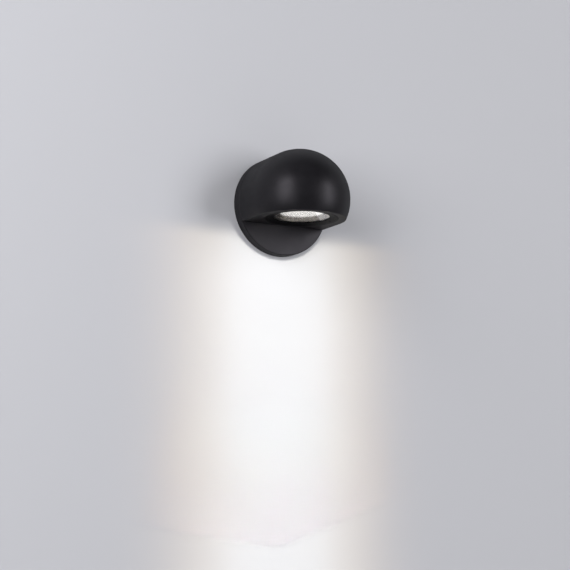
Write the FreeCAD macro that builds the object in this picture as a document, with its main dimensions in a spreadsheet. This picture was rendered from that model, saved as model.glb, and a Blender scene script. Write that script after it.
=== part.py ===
import FreeCAD, Part
import math
import os
import Sketcher

# Swivelling spotlight wall light: a round base disc on the wall, and a head of the same diameter
# that turns on it. The head is a short cylinder running out into a half dome, cut by a flat
# underside, through which a reflector lamp shines down the wall.
#
# Millimetres. The wall is the plane y = 0, the light stands out of it along -Y, +Z is up, and the
# origin is the centre of the base's back. A "depth" is a distance from the wall. A "height" in the
# lamp's own parts is measured upwards from the flat underside, along the lamp's axis.

# ------------------------------------------------------------------------------------------------
# Driving dimensions
# ------------------------------------------------------------------------------------------------

SIZES = {
    # base disc and head: one outline
    "body_radius": 55.0,
    "base_depth": 11.0,
    "base_front_wall": 3.5,
    "base_side_wall": 3.0,
    "base_edge_radius": 0.9,
    "base_inner_fillet": 1.0,
    "seam_gap": 0.3,
    "dome_offset": 4.5,
    "head_wall": 3.0,
    "underside_wall": 3.0,
    "underside_edge_radius": 0.8,
    "back_plate_thickness": 3.5,
    "back_plate_clearance": 0.1,
    # posts that the head's back plate is screwed to
    "post_inset": 3.5,
    "post_radius": 4.0,
    "post_length": 11.0,
    "post_high_angle": 45.0,
    "post_floor_gap": 6.5,
    # pivot
    "nipple_radius": 6.0,
    "nipple_bore_radius": 4.2,
    "nipple_thread_end": 1.3,
    "nipple_end_chamfer": 0.5,
    "nipple_collar_radius": 9.0,
    "nipple_collar_thickness": 1.5,
    "pivot_clearance": 0.05,
    "bush_radius": 8.0,
    "bush_flange_radius": 12.0,
    "bush_recess_depth": 1.0,
    "bush_recess_clearance": 0.3,
    "friction_washer_thickness": 1.0,
    "washer_radius": 11.0,
    "washer_clearance": 0.2,
    "disc_spring_height": 1.4,
    "disc_spring_thickness": 0.6,
    "thrust_washer_thickness": 1.0,
    "washer_room": 1.7,
    "nut_thickness": 5.0,
    "nut_across_flats": 17.0,
    # end stop of the swivel
    "swivel_limit_angle": 165.0,
    "stop_margin_angle": 0.6,
    "track_radius": 16.0,
    "track_width": 3.4,
    "track_depth": 1.8,
    "pin_radius": 1.5,
    "pin_inset": 2.7,
    "pin_tip_clearance": 0.3,
    # wall plate
    "plate_margin": 7.0,
    "plate_thickness": 1.5,
    "tab_margin": 3.6,
    "tab_width": 12.0,
    "tab_front_clearance": 1.0,
    "slot_spacing": 60.0,
    "slot_length": 12.0,
    "slot_width": 4.5,
    "cable_drop": 24.0,
    "cable_hole_radius": 8.0,
    "grommet_bore_radius": 4.0,
    "grommet_lip_radius": 10.0,
    "grommet_lip_thickness": 1.5,
    "gasket_width": 1.6,
    "gasket_thickness": 1.0,
    # grub screws through the rim
    "grub_radius": 2.0,
    "grub_depth": 4.2,
    "grub_recess": 0.6,
    "grub_tip_radius": 1.6,
    "grub_tip_length": 2.0,
    "grub_tip_clearance": 0.2,
    "grub_socket": 1.1,
    "grub_socket_depth": 2.0,
    "grub_boss_radius": 2.9,
    "grub_boss_gap": 0.8,
    # terminal block
    "pole_pitch": 7.0,
    "block_width": 21.0,
    "block_length": 14.0,
    "block_front_clearance": 0.5,
    "block_base": 21.0,
    "ear_overhang": 4.5,
    "ear_length": 5.0,
    "ear_height": 2.5,
    "block_groove_width": 0.8,
    "block_groove_depth": 1.0,
    "funnel_margin": 0.5,
    "funnel_depth": 0.7,
    "sleeve_radius": 1.8,
    "sleeve_bore_radius": 1.1,
    "sleeve_inset": 0.5,
    "clamp_screw_radius": 1.3,
    "clamp_screw_inset": 3.0,
    "clamp_screw_length": 2.2,
    "ear_screw_radius": 1.25,
    "ear_screw_head_radius": 2.1,
    "ear_screw_head_height": 1.6,
    # earth terminals
    "earth_x": 24.0,
    "earth_z": 20.0,
    "tag_radius": 3.5,
    "tag_thickness": 0.8,
    "tag_reach": 6.0,
    "barrel_radius": 1.6,
    "barrel_bore_radius": 1.0,
    "head_barrel_length": 4.7,
    "earth_screw_radius": 1.6,
    "earth_screw_head_radius": 2.9,
    "earth_screw_head_height": 2.0,
    "head_earth_x": 21.0,
    "head_earth_drop": 4.0,
    "pad_radius": 3.5,
    "pad_height": 4.0,
    # lamp and its holder
    "lamp_gap": 4.1,
    "lamp_side_room": 6.0,
    "lamp_rim_height": 3.2,
    "lamp_rim_wall": 1.3,
    "lamp_base_radius": 12.5,
    "lamp_base_step": 1.5,
    "lamp_base_height": 17.0,
    "lamp_rib_gap": 1.8,
    "lamp_rib_depth": 2.0,
    "lamp_rib_end": 1.5,
    "lamp_lens_thickness": 1.6,
    "pin_spacing": 10.0,
    "pin_neck_radius": 1.6,
    "pin_neck_length": 4.8,
    "pin_head_radius": 2.4,
    "pin_head_length": 2.2,
    "holder_length": 30.0,
    "holder_width": 16.5,
    "holder_height": 15.0,
    "holder_corner_radius": 2.0,
    "socket_radius": 2.8,
    "socket_depth": 8.0,
    "socket_slot_margin": 0.3,
    "socket_twist_angle": 40.0,
    "bracket_thickness": 1.5,
    "bracket_width": 24.0,
    "bracket_bend_radius": 1.5,
    "bracket_foot_height": 24.0,
    "bracket_screw_height": 30.0,
    "bracket_screw_spacing": 18.0,
    "bracket_front_overlap": 4.5,
    "small_screw_radius": 1.5,
    "small_screw_head_radius": 2.4,
    "small_screw_head_height": 1.0,
    "small_screw_length": 6.0,
    "roof_margin": 2.1,
    "plate_screw_head_radius": 2.8,
    "plate_screw_head_height": 1.6,
    "plate_screw_head_clearance": 0.2,
    # glass and its bezel
    "bezel_margin": 15.7,
    "bezel_clearance": 0.3,
    "bezel_inset": 0.2,
    "bezel_flange_thickness": 1.5,
    "bezel_rim_width": 1.5,
    "bezel_lip_width": 3.6,
    "bezel_lip_edge": 0.5,
    "bezel_seal_thickness": 0.5,
    "bezel_flange_width": 3.3,
    "bezel_thread_clearance": 0.1,
    "bezel_skirt_wall": 2.0,
    "spanner_hole_radius": 0.9,
    "spanner_hole_depth": 2.5,
    "recess_chamfer": 0.4,
    "glass_height": 2.3,
    "glass_thickness": 3.0,
    "glass_clearance": 0.3,
    "glass_gasket_thickness": 1.0,
    "lens_bore_margin": 0.6,
    "seat_thickness": 3.0,
    "seat_wall": 1.5,
    "seat_clearance": 0.1,
    "reflector_wall": 0.8,
    "reflector_clearance": 0.2,
    # single-core leads
    "lead_radius": 0.9,
    "lead_offset_x": 2.1,
    "lead_offset_z": 1.2,
    "earth_lead_drop": 2.4,
    "lead_plane_depth": 3.6,
}

OVERSHOOT = 1.0                 # how far a cut starts outside the face that it opens
SLOT_SHARE = 0.25               # half a screw slot's width, as a share of the shank's radius
SLOT_DEPTH_SHARE = 0.5          # a screw slot's depth, as a share of the head's height
NUT_CHAMFER_SLOPE = 0.577       # how far a nut's corners fall for each millimetre out to them
LAMP_RIBS = 24

# The leads' routes are chosen by hand. A step of a head lead holds the shares of its way across, of
# its way out from the nipple's mouth to the holder's back, and of its rise to the holder.
LEAD_RUN_SHARE = 0.45           # share of the shorter run that an arc's tangent takes up
BASE_LEAD_FAN = 0.35            # share of its way across that a base lead has gone at its first turn
HEAD_LEAD_EXIT = 0.23
HEAD_LEAD_STEPS = ((0.3, 0.28, 0.25), (1.0, 0.33, 0.55), (1.0, 0.46, 0.9), (1.0, 0.71, 1.0))
HEAD_EARTH_LOOP = (0.19, 0.26, 0.2)

doc = FreeCAD.newDocument("SwivelWallLight")
sheet = doc.addObject("Spreadsheet::Sheet", "Sizes")
for row, (alias, number) in enumerate(SIZES.items(), start=1):
    sheet.set(f"A{row}", alias)
    sheet.set(f"B{row}", str(number))
    sheet.setAlias(f"B{row}", alias)
doc.recompute()


class Size:
    """A length with the sheet formula that it comes from, so that a sketch gets both."""

    def __init__(self, value, formula):
        self.value = float(value)
        self.formula = formula

    def __add__(self, other):
        other = size(other)
        return Size(self.value + other.value, f"({self.formula} + {other.formula})")

    def __sub__(self, other):
        other = size(other)
        return Size(self.value - other.value, f"({self.formula} - {other.formula})")

    def __mul__(self, factor):
        return Size(self.value * factor, f"({self.formula} * {factor})")

    def __truediv__(self, factor):
        return Size(self.value / factor, f"({self.formula} / {factor})")

    def __neg__(self):
        return Size(-self.value, f"(0 - {self.formula})")


def size(length):
    """A Size of a plain number, or the Size itself."""
    return length if isinstance(length, Size) else Size(length, str(float(length)))


def of(alias):
    """The Size that a cell of the sheet holds."""
    return Size(SIZES[alias], f"Sizes.{alias}")


def chord(radius, offset):
    """Half the width of a circle's chord that passes at an offset from its centre."""
    radius, offset = size(radius), size(offset)
    width = math.sqrt(radius.value ** 2 - offset.value ** 2)
    return Size(width, f"sqrt({radius.formula} ^ 2 - {offset.formula} ^ 2)")


def between(start, end, share):
    """A length at a share of the way from one length to another."""
    return start + (end - start) * share


def turned(radius, angle):
    """The two coordinates of a point on a circle, at an angle given in degrees."""
    rad = math.radians(angle.value)
    text = f"{angle.formula} * 1 deg"
    return (Size(radius.value * math.cos(rad), f"({radius.formula} * cos({text}))"),
            Size(radius.value * math.sin(rad), f"({radius.formula} * sin({text}))"))


# ------------------------------------------------------------------------------------------------
# Sketches and features
# ------------------------------------------------------------------------------------------------

def new_body(name):
    """An empty body; its label is the piece's name."""
    body = doc.addObject("PartDesign::Body", name)
    body.Label = name
    return body


def place(obj, x=0, y=0, z=0, axis=(0, 0, 1), angle=0):
    """Put an object at three lengths, turned about an axis by plain degrees."""
    obj.Placement.Rotation = FreeCAD.Rotation(FreeCAD.Vector(*axis), angle)
    for letter, length in zip("xyz", (x, y, z)):
        obj.setExpression(f"Placement.Base.{letter}", size(length).formula)
    return obj


def at_lamp(obj, x=0):
    """Put a piece on the lamp's axis, with its own zero at the flat underside."""
    return place(obj, x, -lamp_axis_depth, -underside_drop)


def sketch(body, name, role, offset=0):
    """A sketch on one of the body's own planes: XY looks down, XZ looks at the wall."""
    plane = next(item for item in body.Origin.OriginFeatures if item.Role == role)
    sk = body.newObject("Sketcher::SketchObject", f"{body.Name}_{name}")
    sk.AttachmentSupport = [(plane, "")]
    sk.MapMode = "FlatFace"
    sk.setExpression("AttachmentOffset.Base.z", size(offset).formula)
    return sk


def hold_point(sk, curve, end, x, y):
    """Hold one point of a sketch at two lengths from its origin."""
    for kind, length in (("DistanceX", size(x)), ("DistanceY", size(y))):
        index = sk.addConstraint(Sketcher.Constraint(kind, -1, 1, curve, end, length.value))
        sk.setExpression(f"Constraints[{index}]", length.formula)


def hold_radius(sk, curve, radius):
    """Hold the radius of a circle or an arc."""
    index = sk.addConstraint(Sketcher.Constraint("Radius", curve, radius.value))
    sk.setExpression(f"Constraints[{index}]", radius.formula)


def bow(start, end, radius, left):
    """An arc of under a half circle from start to end, its centre on the left or the right."""
    along = end - start
    reach = math.sqrt(max(radius ** 2 - (along.Length / 2) ** 2, 0.0))
    side = FreeCAD.Vector(-along.y, along.x, 0).normalize() * (reach if left else -reach)
    centre = start + along * 0.5 + side
    first, last = (start, end) if left else (end, start)
    angles = [math.atan2(p.y - centre.y, p.x - centre.x) for p in (first, last)]
    circle = Part.Circle(centre, FreeCAD.Vector(0, 0, 1), radius)
    return Part.ArcOfCircle(circle, angles[0], angles[1])


def outline(sk, corners):
    """A closed loop through corners (x, y). A corner (x, y, radius, "left") starts an arc."""
    points = [FreeCAD.Vector(size(c[0]).value, size(c[1]).value, 0) for c in corners]
    ends = []
    for i, corner in enumerate(corners):
        start, end = points[i], points[(i + 1) % len(points)]
        if len(corner) == 2:
            curve = sk.addGeometry(Part.LineSegment(start, end), False)
            ends.append((curve, 1, 2))
            continue
        left = corner[3] == "left"
        curve = sk.addGeometry(bow(start, end, corner[2].value, left), False)
        hold_radius(sk, curve, corner[2])
        ends.append((curve, 1, 2) if left else (curve, 2, 1))
    for i, (curve, start, end) in enumerate(ends):
        following = ends[(i + 1) % len(ends)]
        sk.addConstraint(Sketcher.Constraint("Coincident", curve, end, following[0], following[1]))
        hold_point(sk, curve, start, corners[i][0], corners[i][1])


def box_corners(x1, y1, x2, y2):
    """The corners of an upright rectangle."""
    return [(x1, y1), (x2, y1), (x2, y2), (x1, y2)]


def circle(sk, x, y, radius):
    """A circle held at a place with a radius."""
    centre = FreeCAD.Vector(size(x).value, size(y).value, 0)
    curve = sk.addGeometry(Part.Circle(centre, FreeCAD.Vector(0, 0, 1), radius.value), False)
    hold_point(sk, curve, 3, x, y)
    hold_radius(sk, curve, radius)


def slot(sk, x, half_length, radius):
    """A level round-ended slot on the sketch's X axis; half_length is centre to arc centre."""
    left, right = size(x) - half_length, size(x) + half_length
    outline(sk, [(left, -radius), (right, -radius, radius, "left"), (right + radius, 0, radius, "left"),
                 (right, radius), (left, radius, radius, "left"), (left - radius, 0, radius, "left")])


def turn(body, name, corners, role="XY_Plane"):
    """Revolve an outline (radius, level) about the sketch's upright axis."""
    sk = sketch(body, f"{name}_profile", role)
    outline(sk, corners)
    feature = body.newObject("PartDesign::Revolution", f"{body.Name}_{name}")
    feature.Profile = (sk, [""])
    feature.ReferenceAxis = (sk, ["V_Axis"])
    feature.Angle = 360
    return feature


def groove(body, name, sk, angle="360 deg", both_ways=True):
    """Cut a revolved outline out of the body, centred on the sketch's plane or starting there."""
    feature = body.newObject("PartDesign::Groove", f"{body.Name}_{name}")
    feature.Profile = (sk, [""])
    feature.ReferenceAxis = (sk, ["V_Axis"])
    feature.Midplane = both_ways
    feature.setExpression("Angle", angle)
    return feature


def pad(body, name, sk, length, both_ways=False):
    """Grow a sketch by a length along its normal, or by half of it each way."""
    feature = body.newObject("PartDesign::Pad", f"{body.Name}_{name}")
    feature.Profile = (sk, [""])
    feature.setExpression("Length", size(length).formula)
    feature.Midplane = both_ways
    return feature


def pocket(body, name, sk, length=None, along_normal=False, both_ways=False):
    """Cut a sketch out of the body, to a depth against its normal, or right through."""
    feature = body.newObject("PartDesign::Pocket", f"{body.Name}_{name}")
    feature.Profile = (sk, [""])
    feature.Reversed = along_normal
    if length is None:
        feature.Type = "ThroughAll"
        feature.Midplane = True
    else:
        feature.setExpression("Length", size(length).formula)
        feature.Midplane = both_ways
    return feature


def repeat_round(body, name, feature, sk, count):
    """Repeat a cut evenly round its sketch's upright axis."""
    pattern = body.newObject("PartDesign::PolarPattern", f"{body.Name}_{name}")
    pattern.Originals = [feature]
    pattern.Axis = (sk, ["V_Axis"])
    pattern.Angle = 360
    pattern.Occurrences = count
    body.Tip = pattern
    return pattern


def tube(name, inner, outer, low, high, role="XY_Plane"):
    """A plain ring or washer."""
    body = new_body(name)
    turn(body, "ring", box_corners(inner, low, outer, high), role)
    return body


def screw(name, shank_radius, length, head_radius, head_height):
    """A slotted screw on local Z: its head stands above zero and its shank goes below."""
    body = new_body(name)
    turn(body, "blank", [(0, -length), (shank_radius, -length), (shank_radius, 0),
                         (head_radius, 0), (head_radius, head_height), (0, head_height)], "XZ_Plane")
    slot_half = shank_radius * SLOT_SHARE
    sk = sketch(body, "slot_outline", "XY_Plane", head_height)
    outline(sk, box_corners(-head_radius * 2, -slot_half, head_radius * 2, slot_half))
    pocket(body, "slot", sk, head_height * SLOT_DEPTH_SHARE)
    return body


def group(name, members):
    """Like pieces that share one node, as separate solids."""
    compound = doc.addObject("Part::Compound", name)
    compound.Label = name
    compound.Links = members
    return compound


TOWARDS_ROOM = {"axis": (1, 0, 0), "angle": 90}      # local Z points along -Y, out of the wall
TOWARDS_WALL = {"axis": (1, 0, 0), "angle": -90}     # local Z points along +Y, at the wall
UPSIDE_DOWN = {"axis": (1, 0, 0), "angle": 180}

# ------------------------------------------------------------------------------------------------
# Places that several pieces share
# ------------------------------------------------------------------------------------------------

base_inner_radius = of("body_radius") - of("base_side_wall")
base_cavity_depth = of("base_depth") - of("base_front_wall")
track_floor_depth = of("base_depth") - of("track_depth")
plate_radius = base_inner_radius - of("plate_margin")
tab_reach = base_inner_radius - of("tab_margin")

head_back_depth = of("base_depth") + of("seam_gap")
plate_inner_depth = head_back_depth + of("back_plate_thickness")
pad_face_depth = plate_inner_depth + of("pad_height")
head_inner_radius = of("body_radius") - of("head_wall")

washer_bore_radius = of("nipple_radius") + of("washer_clearance")
spring_back_depth = plate_inner_depth + of("friction_washer_thickness")
spring_front_depth = spring_back_depth + of("disc_spring_height")
nut_back_depth = spring_front_depth + of("thrust_washer_thickness")
nipple_end_depth = nut_back_depth + of("nut_thickness") + of("nipple_thread_end")
nipple_back_depth = base_cavity_depth - of("nipple_collar_thickness")

block_front_depth = base_cavity_depth - of("block_front_clearance")
pole_depth = between(of("plate_thickness"), block_front_depth, 0.5)
block_top = of("block_base") + of("block_length")
pole_places = [-of("pole_pitch"), size(0), of("pole_pitch")]

# the glass and what holds it, outwards from the bezel's rim and upwards from the underside
bezel_radius = of("body_radius") - of("bezel_margin")
bezel_thread_radius = bezel_radius - of("bezel_flange_width")
bezel_skirt_radius = bezel_thread_radius - of("bezel_skirt_wall")
bezel_opening_radius = bezel_skirt_radius - of("bezel_lip_width")
glass_radius = bezel_skirt_radius - of("glass_clearance")
lens_bore_radius = bezel_opening_radius + of("lens_bore_margin")
recess_radius = bezel_radius + of("bezel_clearance")
thread_bore_radius = bezel_thread_radius + of("bezel_thread_clearance")
seat_outer_radius = thread_bore_radius + of("seat_wall")
flange_top = of("bezel_inset") + of("bezel_flange_thickness")
recess_depth = flange_top + of("bezel_seal_thickness")
glass_top = of("glass_height") + of("glass_thickness")
seat_height = glass_top + of("glass_gasket_thickness")
seat_top = seat_height + of("seat_thickness")

# the lens bore stands just in front of the back plate and its seat just below the pivot's washers;
# the lamp is as wide as the bore allows and as long as the roof allows
lamp_axis_depth = plate_inner_depth + of("seat_clearance") + seat_outer_radius
dome_centre_depth = lamp_axis_depth - of("dome_offset")
underside_drop = of("washer_radius") + of("washer_room") + seat_top
floor_level = of("underside_wall") - underside_drop
bracket_top = head_inner_radius - of("roof_margin") - of("small_screw_head_height")
holder_top = bracket_top - of("bracket_thickness")
holder_bottom = holder_top - of("holder_height")
lamp_top = holder_bottom + underside_drop
lamp_face_height = glass_top + of("lamp_gap")
lamp_radius = lens_bore_radius - of("lamp_side_room")
bracket_front_depth = lamp_axis_depth + of("bracket_front_overlap")

post_ring_radius = head_inner_radius - of("post_inset")
low_post_level = floor_level + of("post_floor_gap")
post_places = [turned(post_ring_radius, of("post_high_angle")),
               (chord(post_ring_radius, low_post_level), low_post_level)]
post_places += [(-x, z) for x, z in post_places]

# ------------------------------------------------------------------------------------------------
# Base: what stays on the wall
# ------------------------------------------------------------------------------------------------

def make_wall_plate():
    """Steel disc on the wall, with two bent-up tabs that the grub screws pull against."""
    body = new_body("wall_plate")
    sk = sketch(body, "disc_outline", "XZ_Plane")
    circle(sk, 0, 0, plate_radius)
    pad(body, "disc", sk, of("plate_thickness"))
    half = of("tab_width") / 2
    root = plate_radius - half
    sk = sketch(body, "tab_strip_outline", "XZ_Plane")
    outline(sk, box_corners(-half, root, half, tab_reach))
    outline(sk, box_corners(-half, -tab_reach, half, -root))
    pad(body, "tab_strips", sk, of("plate_thickness"))
    sk = sketch(body, "tab_outline", "XZ_Plane")
    inside = tab_reach - of("plate_thickness")
    outline(sk, box_corners(-half, inside, half, tab_reach))
    outline(sk, box_corners(-half, -tab_reach, half, -inside))
    pad(body, "tabs", sk, base_cavity_depth - of("tab_front_clearance"))
    sk = sketch(body, "tab_hole_outline", "XY_Plane")
    circle(sk, 0, -of("grub_depth"), of("grub_tip_radius") + of("grub_tip_clearance"))
    pocket(body, "tab_holes", sk)
    sk = sketch(body, "hole_outline", "XZ_Plane")
    radius = of("slot_width") / 2
    for side in (-1, 1):
        slot(sk, of("slot_spacing") / (2 * side), of("slot_length") / 2 - radius, radius)
        circle(sk, ear_screw_x() * side, ear_screw_z(), of("ear_screw_radius"))
    circle(sk, 0, -of("cable_drop"), of("cable_hole_radius"))
    circle(sk, of("earth_x"), of("earth_z"), of("earth_screw_radius"))
    pocket(body, "holes", sk)
    return body


def make_wall_base():
    """Cast disc: a shallow cup over the plate, turned about the wall's normal."""
    body = new_body("wall_base")
    edge, fillet = of("base_edge_radius"), of("base_inner_fillet")
    outer, inner = of("body_radius"), base_inner_radius
    front, cavity = -of("base_depth"), -base_cavity_depth
    recess = of("bush_flange_radius") + of("bush_recess_clearance")
    seat = front + of("bush_recess_depth")
    rim = (outer - inner - of("gasket_width")) / 2
    turn(body, "casting", [
        (of("nipple_radius"), seat), (recess, seat), (recess, front),
        (outer - edge, front, edge, "left"), (outer, front + edge), (outer, 0),
        (outer - rim, 0), (outer - rim, -of("gasket_thickness")),
        (inner + rim, -of("gasket_thickness")), (inner + rim, 0), (inner, 0),
        (inner, cavity + fillet, fillet, "right"), (inner - fillet, cavity),
        (of("nipple_radius"), cavity)])
    sk = sketch(body, "track_profile", "XY_Plane")
    half = of("track_width") / 2
    outline(sk, box_corners(of("track_radius") - half, front - OVERSHOOT, of("track_radius") + half,
                            -track_floor_depth))
    groove(body, "track", sk, "2 deg * (Sizes.swivel_limit_angle + Sizes.stop_margin_angle)"
                              " + 2 * asin(Sizes.pin_radius / Sizes.track_radius)")
    boss, inside = of("grub_boss_radius"), tab_reach + of("grub_boss_gap")
    length = inner + of("base_side_wall") / 4 - inside
    for name, start in (("top_boss", inside), ("bottom_boss", -inside - length)):
        sk = sketch(body, f"{name}_outline", "XY_Plane", start)
        outline(sk, [(-boss, -of("base_depth") + of("base_front_wall") / 2),
                     (boss, -of("base_depth") + of("base_front_wall") / 2),
                     (boss, -of("grub_depth"), boss, "left"), (0, boss - of("grub_depth"), boss, "left"),
                     (-boss, -of("grub_depth"))])
        pad(body, name, sk, length)
    sk = sketch(body, "grub_hole_outline", "XY_Plane")
    circle(sk, 0, -of("grub_depth"), of("grub_radius"))
    pocket(body, "grub_holes", sk)
    return body


def make_base_gasket():
    """Foam ring let into the back edge of the base, flush with it."""
    rim = (of("body_radius") - base_inner_radius - of("gasket_width")) / 2
    return tube("base_gasket", base_inner_radius + rim, of("body_radius") - rim,
                -of("gasket_thickness"), 0)


def make_grub_screws():
    """Socket grub screws at the top and the bottom of the rim; their tips enter the tabs."""
    members = []
    for name, side in (("top_grub_screw", 1), ("bottom_grub_screw", -1)):
        body = new_body(name)
        high = of("body_radius") - of("grub_recess")
        low = tab_reach - of("plate_thickness")
        shoulder = low + of("grub_tip_length")
        turn(body, "blank", [(0, low), (of("grub_tip_radius"), low), (of("grub_tip_radius"), shoulder),
                             (of("grub_radius"), shoulder), (of("grub_radius"), high), (0, high)],
             "XZ_Plane")
        sk = sketch(body, "socket_outline", "XY_Plane", high)
        outline(sk, hexagon(of("grub_socket")))
        pocket(body, "socket", sk, of("grub_socket_depth"))
        turning = UPSIDE_DOWN if side < 0 else {}
        members.append(place(body, 0, -of("grub_depth"), 0, **turning))
    return group("base_grub_screws", members)


def hexagon(across_corners_half):
    """Six corners at a distance from the centre."""
    return [turned(across_corners_half, size(360 / 6 * i)) for i in range(6)]


def make_cable_grommet():
    """Rubber bush in the plate's cable hole."""
    body = new_body("cable_grommet")
    lip = -of("plate_thickness")
    turn(body, "bush", [
        (of("grommet_bore_radius"), lip - of("grommet_lip_thickness")),
        (of("grommet_lip_radius"), lip - of("grommet_lip_thickness")), (of("grommet_lip_radius"), lip),
        (of("cable_hole_radius"), lip), (of("cable_hole_radius"), 0), (of("grommet_bore_radius"), 0)])
    return place(body, 0, 0, -of("cable_drop"))


def ear_screw_x():
    """Distance of a terminal block's fixing screw from the middle."""
    return of("block_width") / 2 + of("ear_overhang") / 2


def ear_screw_z():
    """Level of the terminal block's fixing screws."""
    return of("block_base") + of("block_length") / 2


def make_terminal_block():
    """Moulded three-pole block, with an ear on each side for its screws."""
    body = new_body("terminal_block")
    half = of("block_width") / 2
    sk = sketch(body, "block_outline", "XZ_Plane", of("plate_thickness"))
    outline(sk, box_corners(-half, of("block_base"), half, block_top))
    pad(body, "block", sk, block_front_depth - of("plate_thickness"))
    ear = half + of("ear_overhang")
    sk = sketch(body, "ear_outline", "XZ_Plane", of("plate_thickness"))
    outline(sk, box_corners(-ear, ear_screw_z() - of("ear_length") / 2, ear,
                            ear_screw_z() + of("ear_length") / 2))
    pad(body, "ears", sk, of("ear_height"))
    sk = sketch(body, "pole_outline", "XY_Plane", block_top + OVERSHOOT)
    for x in pole_places:
        circle(sk, x, -pole_depth, of("sleeve_radius"))
    pocket(body, "poles", sk, of("block_length") + 2 * OVERSHOOT)
    sk = sketch(body, "screw_hole_outline", "XZ_Plane", block_front_depth)
    for x in pole_places:
        for z in clamp_levels():
            circle(sk, x, z, of("clamp_screw_radius"))
    pocket(body, "screw_holes", sk, block_front_depth - pole_depth)
    sk = sketch(body, "ear_hole_outline", "XZ_Plane")
    for side in (-1, 1):
        circle(sk, ear_screw_x() * side, ear_screw_z(), of("ear_screw_radius"))
    pocket(body, "ear_holes", sk)
    for name, level, upwards in (("low_funnels", of("block_base"), True),
                                 ("high_funnels", block_top, False)):
        sk = sketch(body, f"{name}_outline", "XY_Plane", level)
        for x in pole_places:
            circle(sk, x, -pole_depth, of("sleeve_radius") + of("funnel_margin"))
        pocket(body, name, sk, of("funnel_depth"), along_normal=upwards)
    sk = sketch(body, "parting_outline", "XZ_Plane", block_front_depth)
    for side in (-1, 1):
        middle, wide = of("pole_pitch") / (2 * side), of("block_groove_width") / 2
        outline(sk, box_corners(middle - wide, of("block_base") - OVERSHOOT, middle + wide,
                                block_top + OVERSHOOT))
    pocket(body, "parting_grooves", sk, of("block_groove_depth"))
    return body


def clamp_levels():
    """Levels of the two clamping screws of a pole."""
    return (of("block_base") + of("clamp_screw_inset"), block_top - of("clamp_screw_inset"))


def make_terminal_sleeves():
    """Brass sleeves, each with two tapped holes for its clamping screws."""
    members = []
    for i, x in enumerate(pole_places, start=1):
        body = new_body(f"terminal_sleeve_{i}")
        turn(body, "tube", box_corners(
            of("sleeve_bore_radius"), of("block_base") + of("sleeve_inset"),
            of("sleeve_radius"), block_top - of("sleeve_inset")), "XZ_Plane")
        sk = sketch(body, "tapping_outline", "XZ_Plane", of("sleeve_radius"))
        for z in clamp_levels():
            circle(sk, 0, z, of("clamp_screw_radius"))
        pocket(body, "tappings", sk, of("sleeve_radius"))
        members.append(place(body, x, -pole_depth, 0))
    return group("terminal_sleeves", members)


def make_terminal_screws():
    """Headless slotted screws, two to a pole, reached from the front."""
    members = []
    for i, x in enumerate(pole_places, start=1):
        for j, z in enumerate(clamp_levels(), start=1):
            radius, length = of("clamp_screw_radius"), of("clamp_screw_length")
            body = new_body(f"terminal_screw_{i}{j}")
            turn(body, "blank", box_corners(size(0), -length, radius, size(0)), "XZ_Plane")
            sk = sketch(body, "slot_outline", "XY_Plane")
            slot_half = radius * SLOT_SHARE
            outline(sk, box_corners(-radius * 2, -slot_half, radius * 2, slot_half))
            pocket(body, "slot", sk, radius * SLOT_DEPTH_SHARE)
            members.append(place(body, x, -block_front_depth, z, **TOWARDS_ROOM))
    return group("terminal_screws", members)


def make_terminal_fixing_screws():
    """Two screws that hold the block's ears to the plate."""
    members = []
    for side in (-1, 1):
        body = screw(f"ear_screw_{side + 2}", of("ear_screw_radius"),
                     of("ear_height") + of("plate_thickness"),
                     of("ear_screw_head_radius"), of("ear_screw_head_height"))
        members.append(place(body, ear_screw_x() * side, -of("plate_thickness") - of("ear_height"),
                             ear_screw_z(), **TOWARDS_ROOM))
    return group("terminal_fixing_screws", members)


def make_earth_tag(name, barrel_length):
    """Ring tag with a crimp barrel that stands up from the end of its tongue."""
    body = new_body(name)
    barrel = of("barrel_radius")
    sk = sketch(body, "ring_outline", "XZ_Plane")
    circle(sk, 0, 0, of("tag_radius"))
    pad(body, "ring", sk, of("tag_thickness"))
    sk = sketch(body, "tongue_outline", "XZ_Plane")
    outline(sk, box_corners(0, -barrel, of("tag_reach"), barrel))
    pad(body, "tongue", sk, of("tag_thickness"))
    sk = sketch(body, "barrel_outline", "XZ_Plane")
    circle(sk, of("tag_reach"), 0, barrel)
    pad(body, "barrel", sk, of("tag_thickness") + barrel_length)
    sk = sketch(body, "bore_outline", "XZ_Plane", of("tag_thickness") + barrel_length)
    circle(sk, of("tag_reach"), 0, of("barrel_bore_radius"))
    pocket(body, "bore", sk, barrel_length)
    sk = sketch(body, "screw_hole_outline", "XZ_Plane")
    circle(sk, 0, 0, of("earth_screw_radius"))
    pocket(body, "screw_hole", sk)
    return body


def make_earth_screw(name, length):
    """Slotted cheese-head earth screw."""
    return screw(name, of("earth_screw_radius"), length, of("earth_screw_head_radius"),
                 of("earth_screw_head_height"))


def make_pivot_nipple():
    """Hollow threaded tube with a collar behind the base's front wall: the fixed spindle."""
    body = new_body("pivot_nipple")
    bore, shank, collar = of("nipple_bore_radius"), of("nipple_radius"), of("nipple_collar_radius")
    bevel = of("nipple_end_chamfer")
    turn(body, "tube", [
        (bore, -nipple_end_depth), (shank - bevel, -nipple_end_depth),
        (shank, bevel - nipple_end_depth),
        (shank, -base_cavity_depth), (collar, -base_cavity_depth),
        (collar, -nipple_back_depth), (bore, -nipple_back_depth)])
    return body


def make_disc_spring():
    """Cone of spring steel: its outer edge bears on the friction washer."""
    body = new_body("disc_spring")
    leaf = of("disc_spring_thickness")
    turn(body, "cone", [
        (washer_bore_radius, -spring_front_depth), (washer_bore_radius + leaf, -spring_front_depth),
        (of("washer_radius"), -spring_back_depth - leaf), (of("washer_radius"), -spring_back_depth),
        (of("washer_radius") - leaf, -spring_back_depth),
        (washer_bore_radius, -spring_front_depth + leaf)])
    return body


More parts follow.
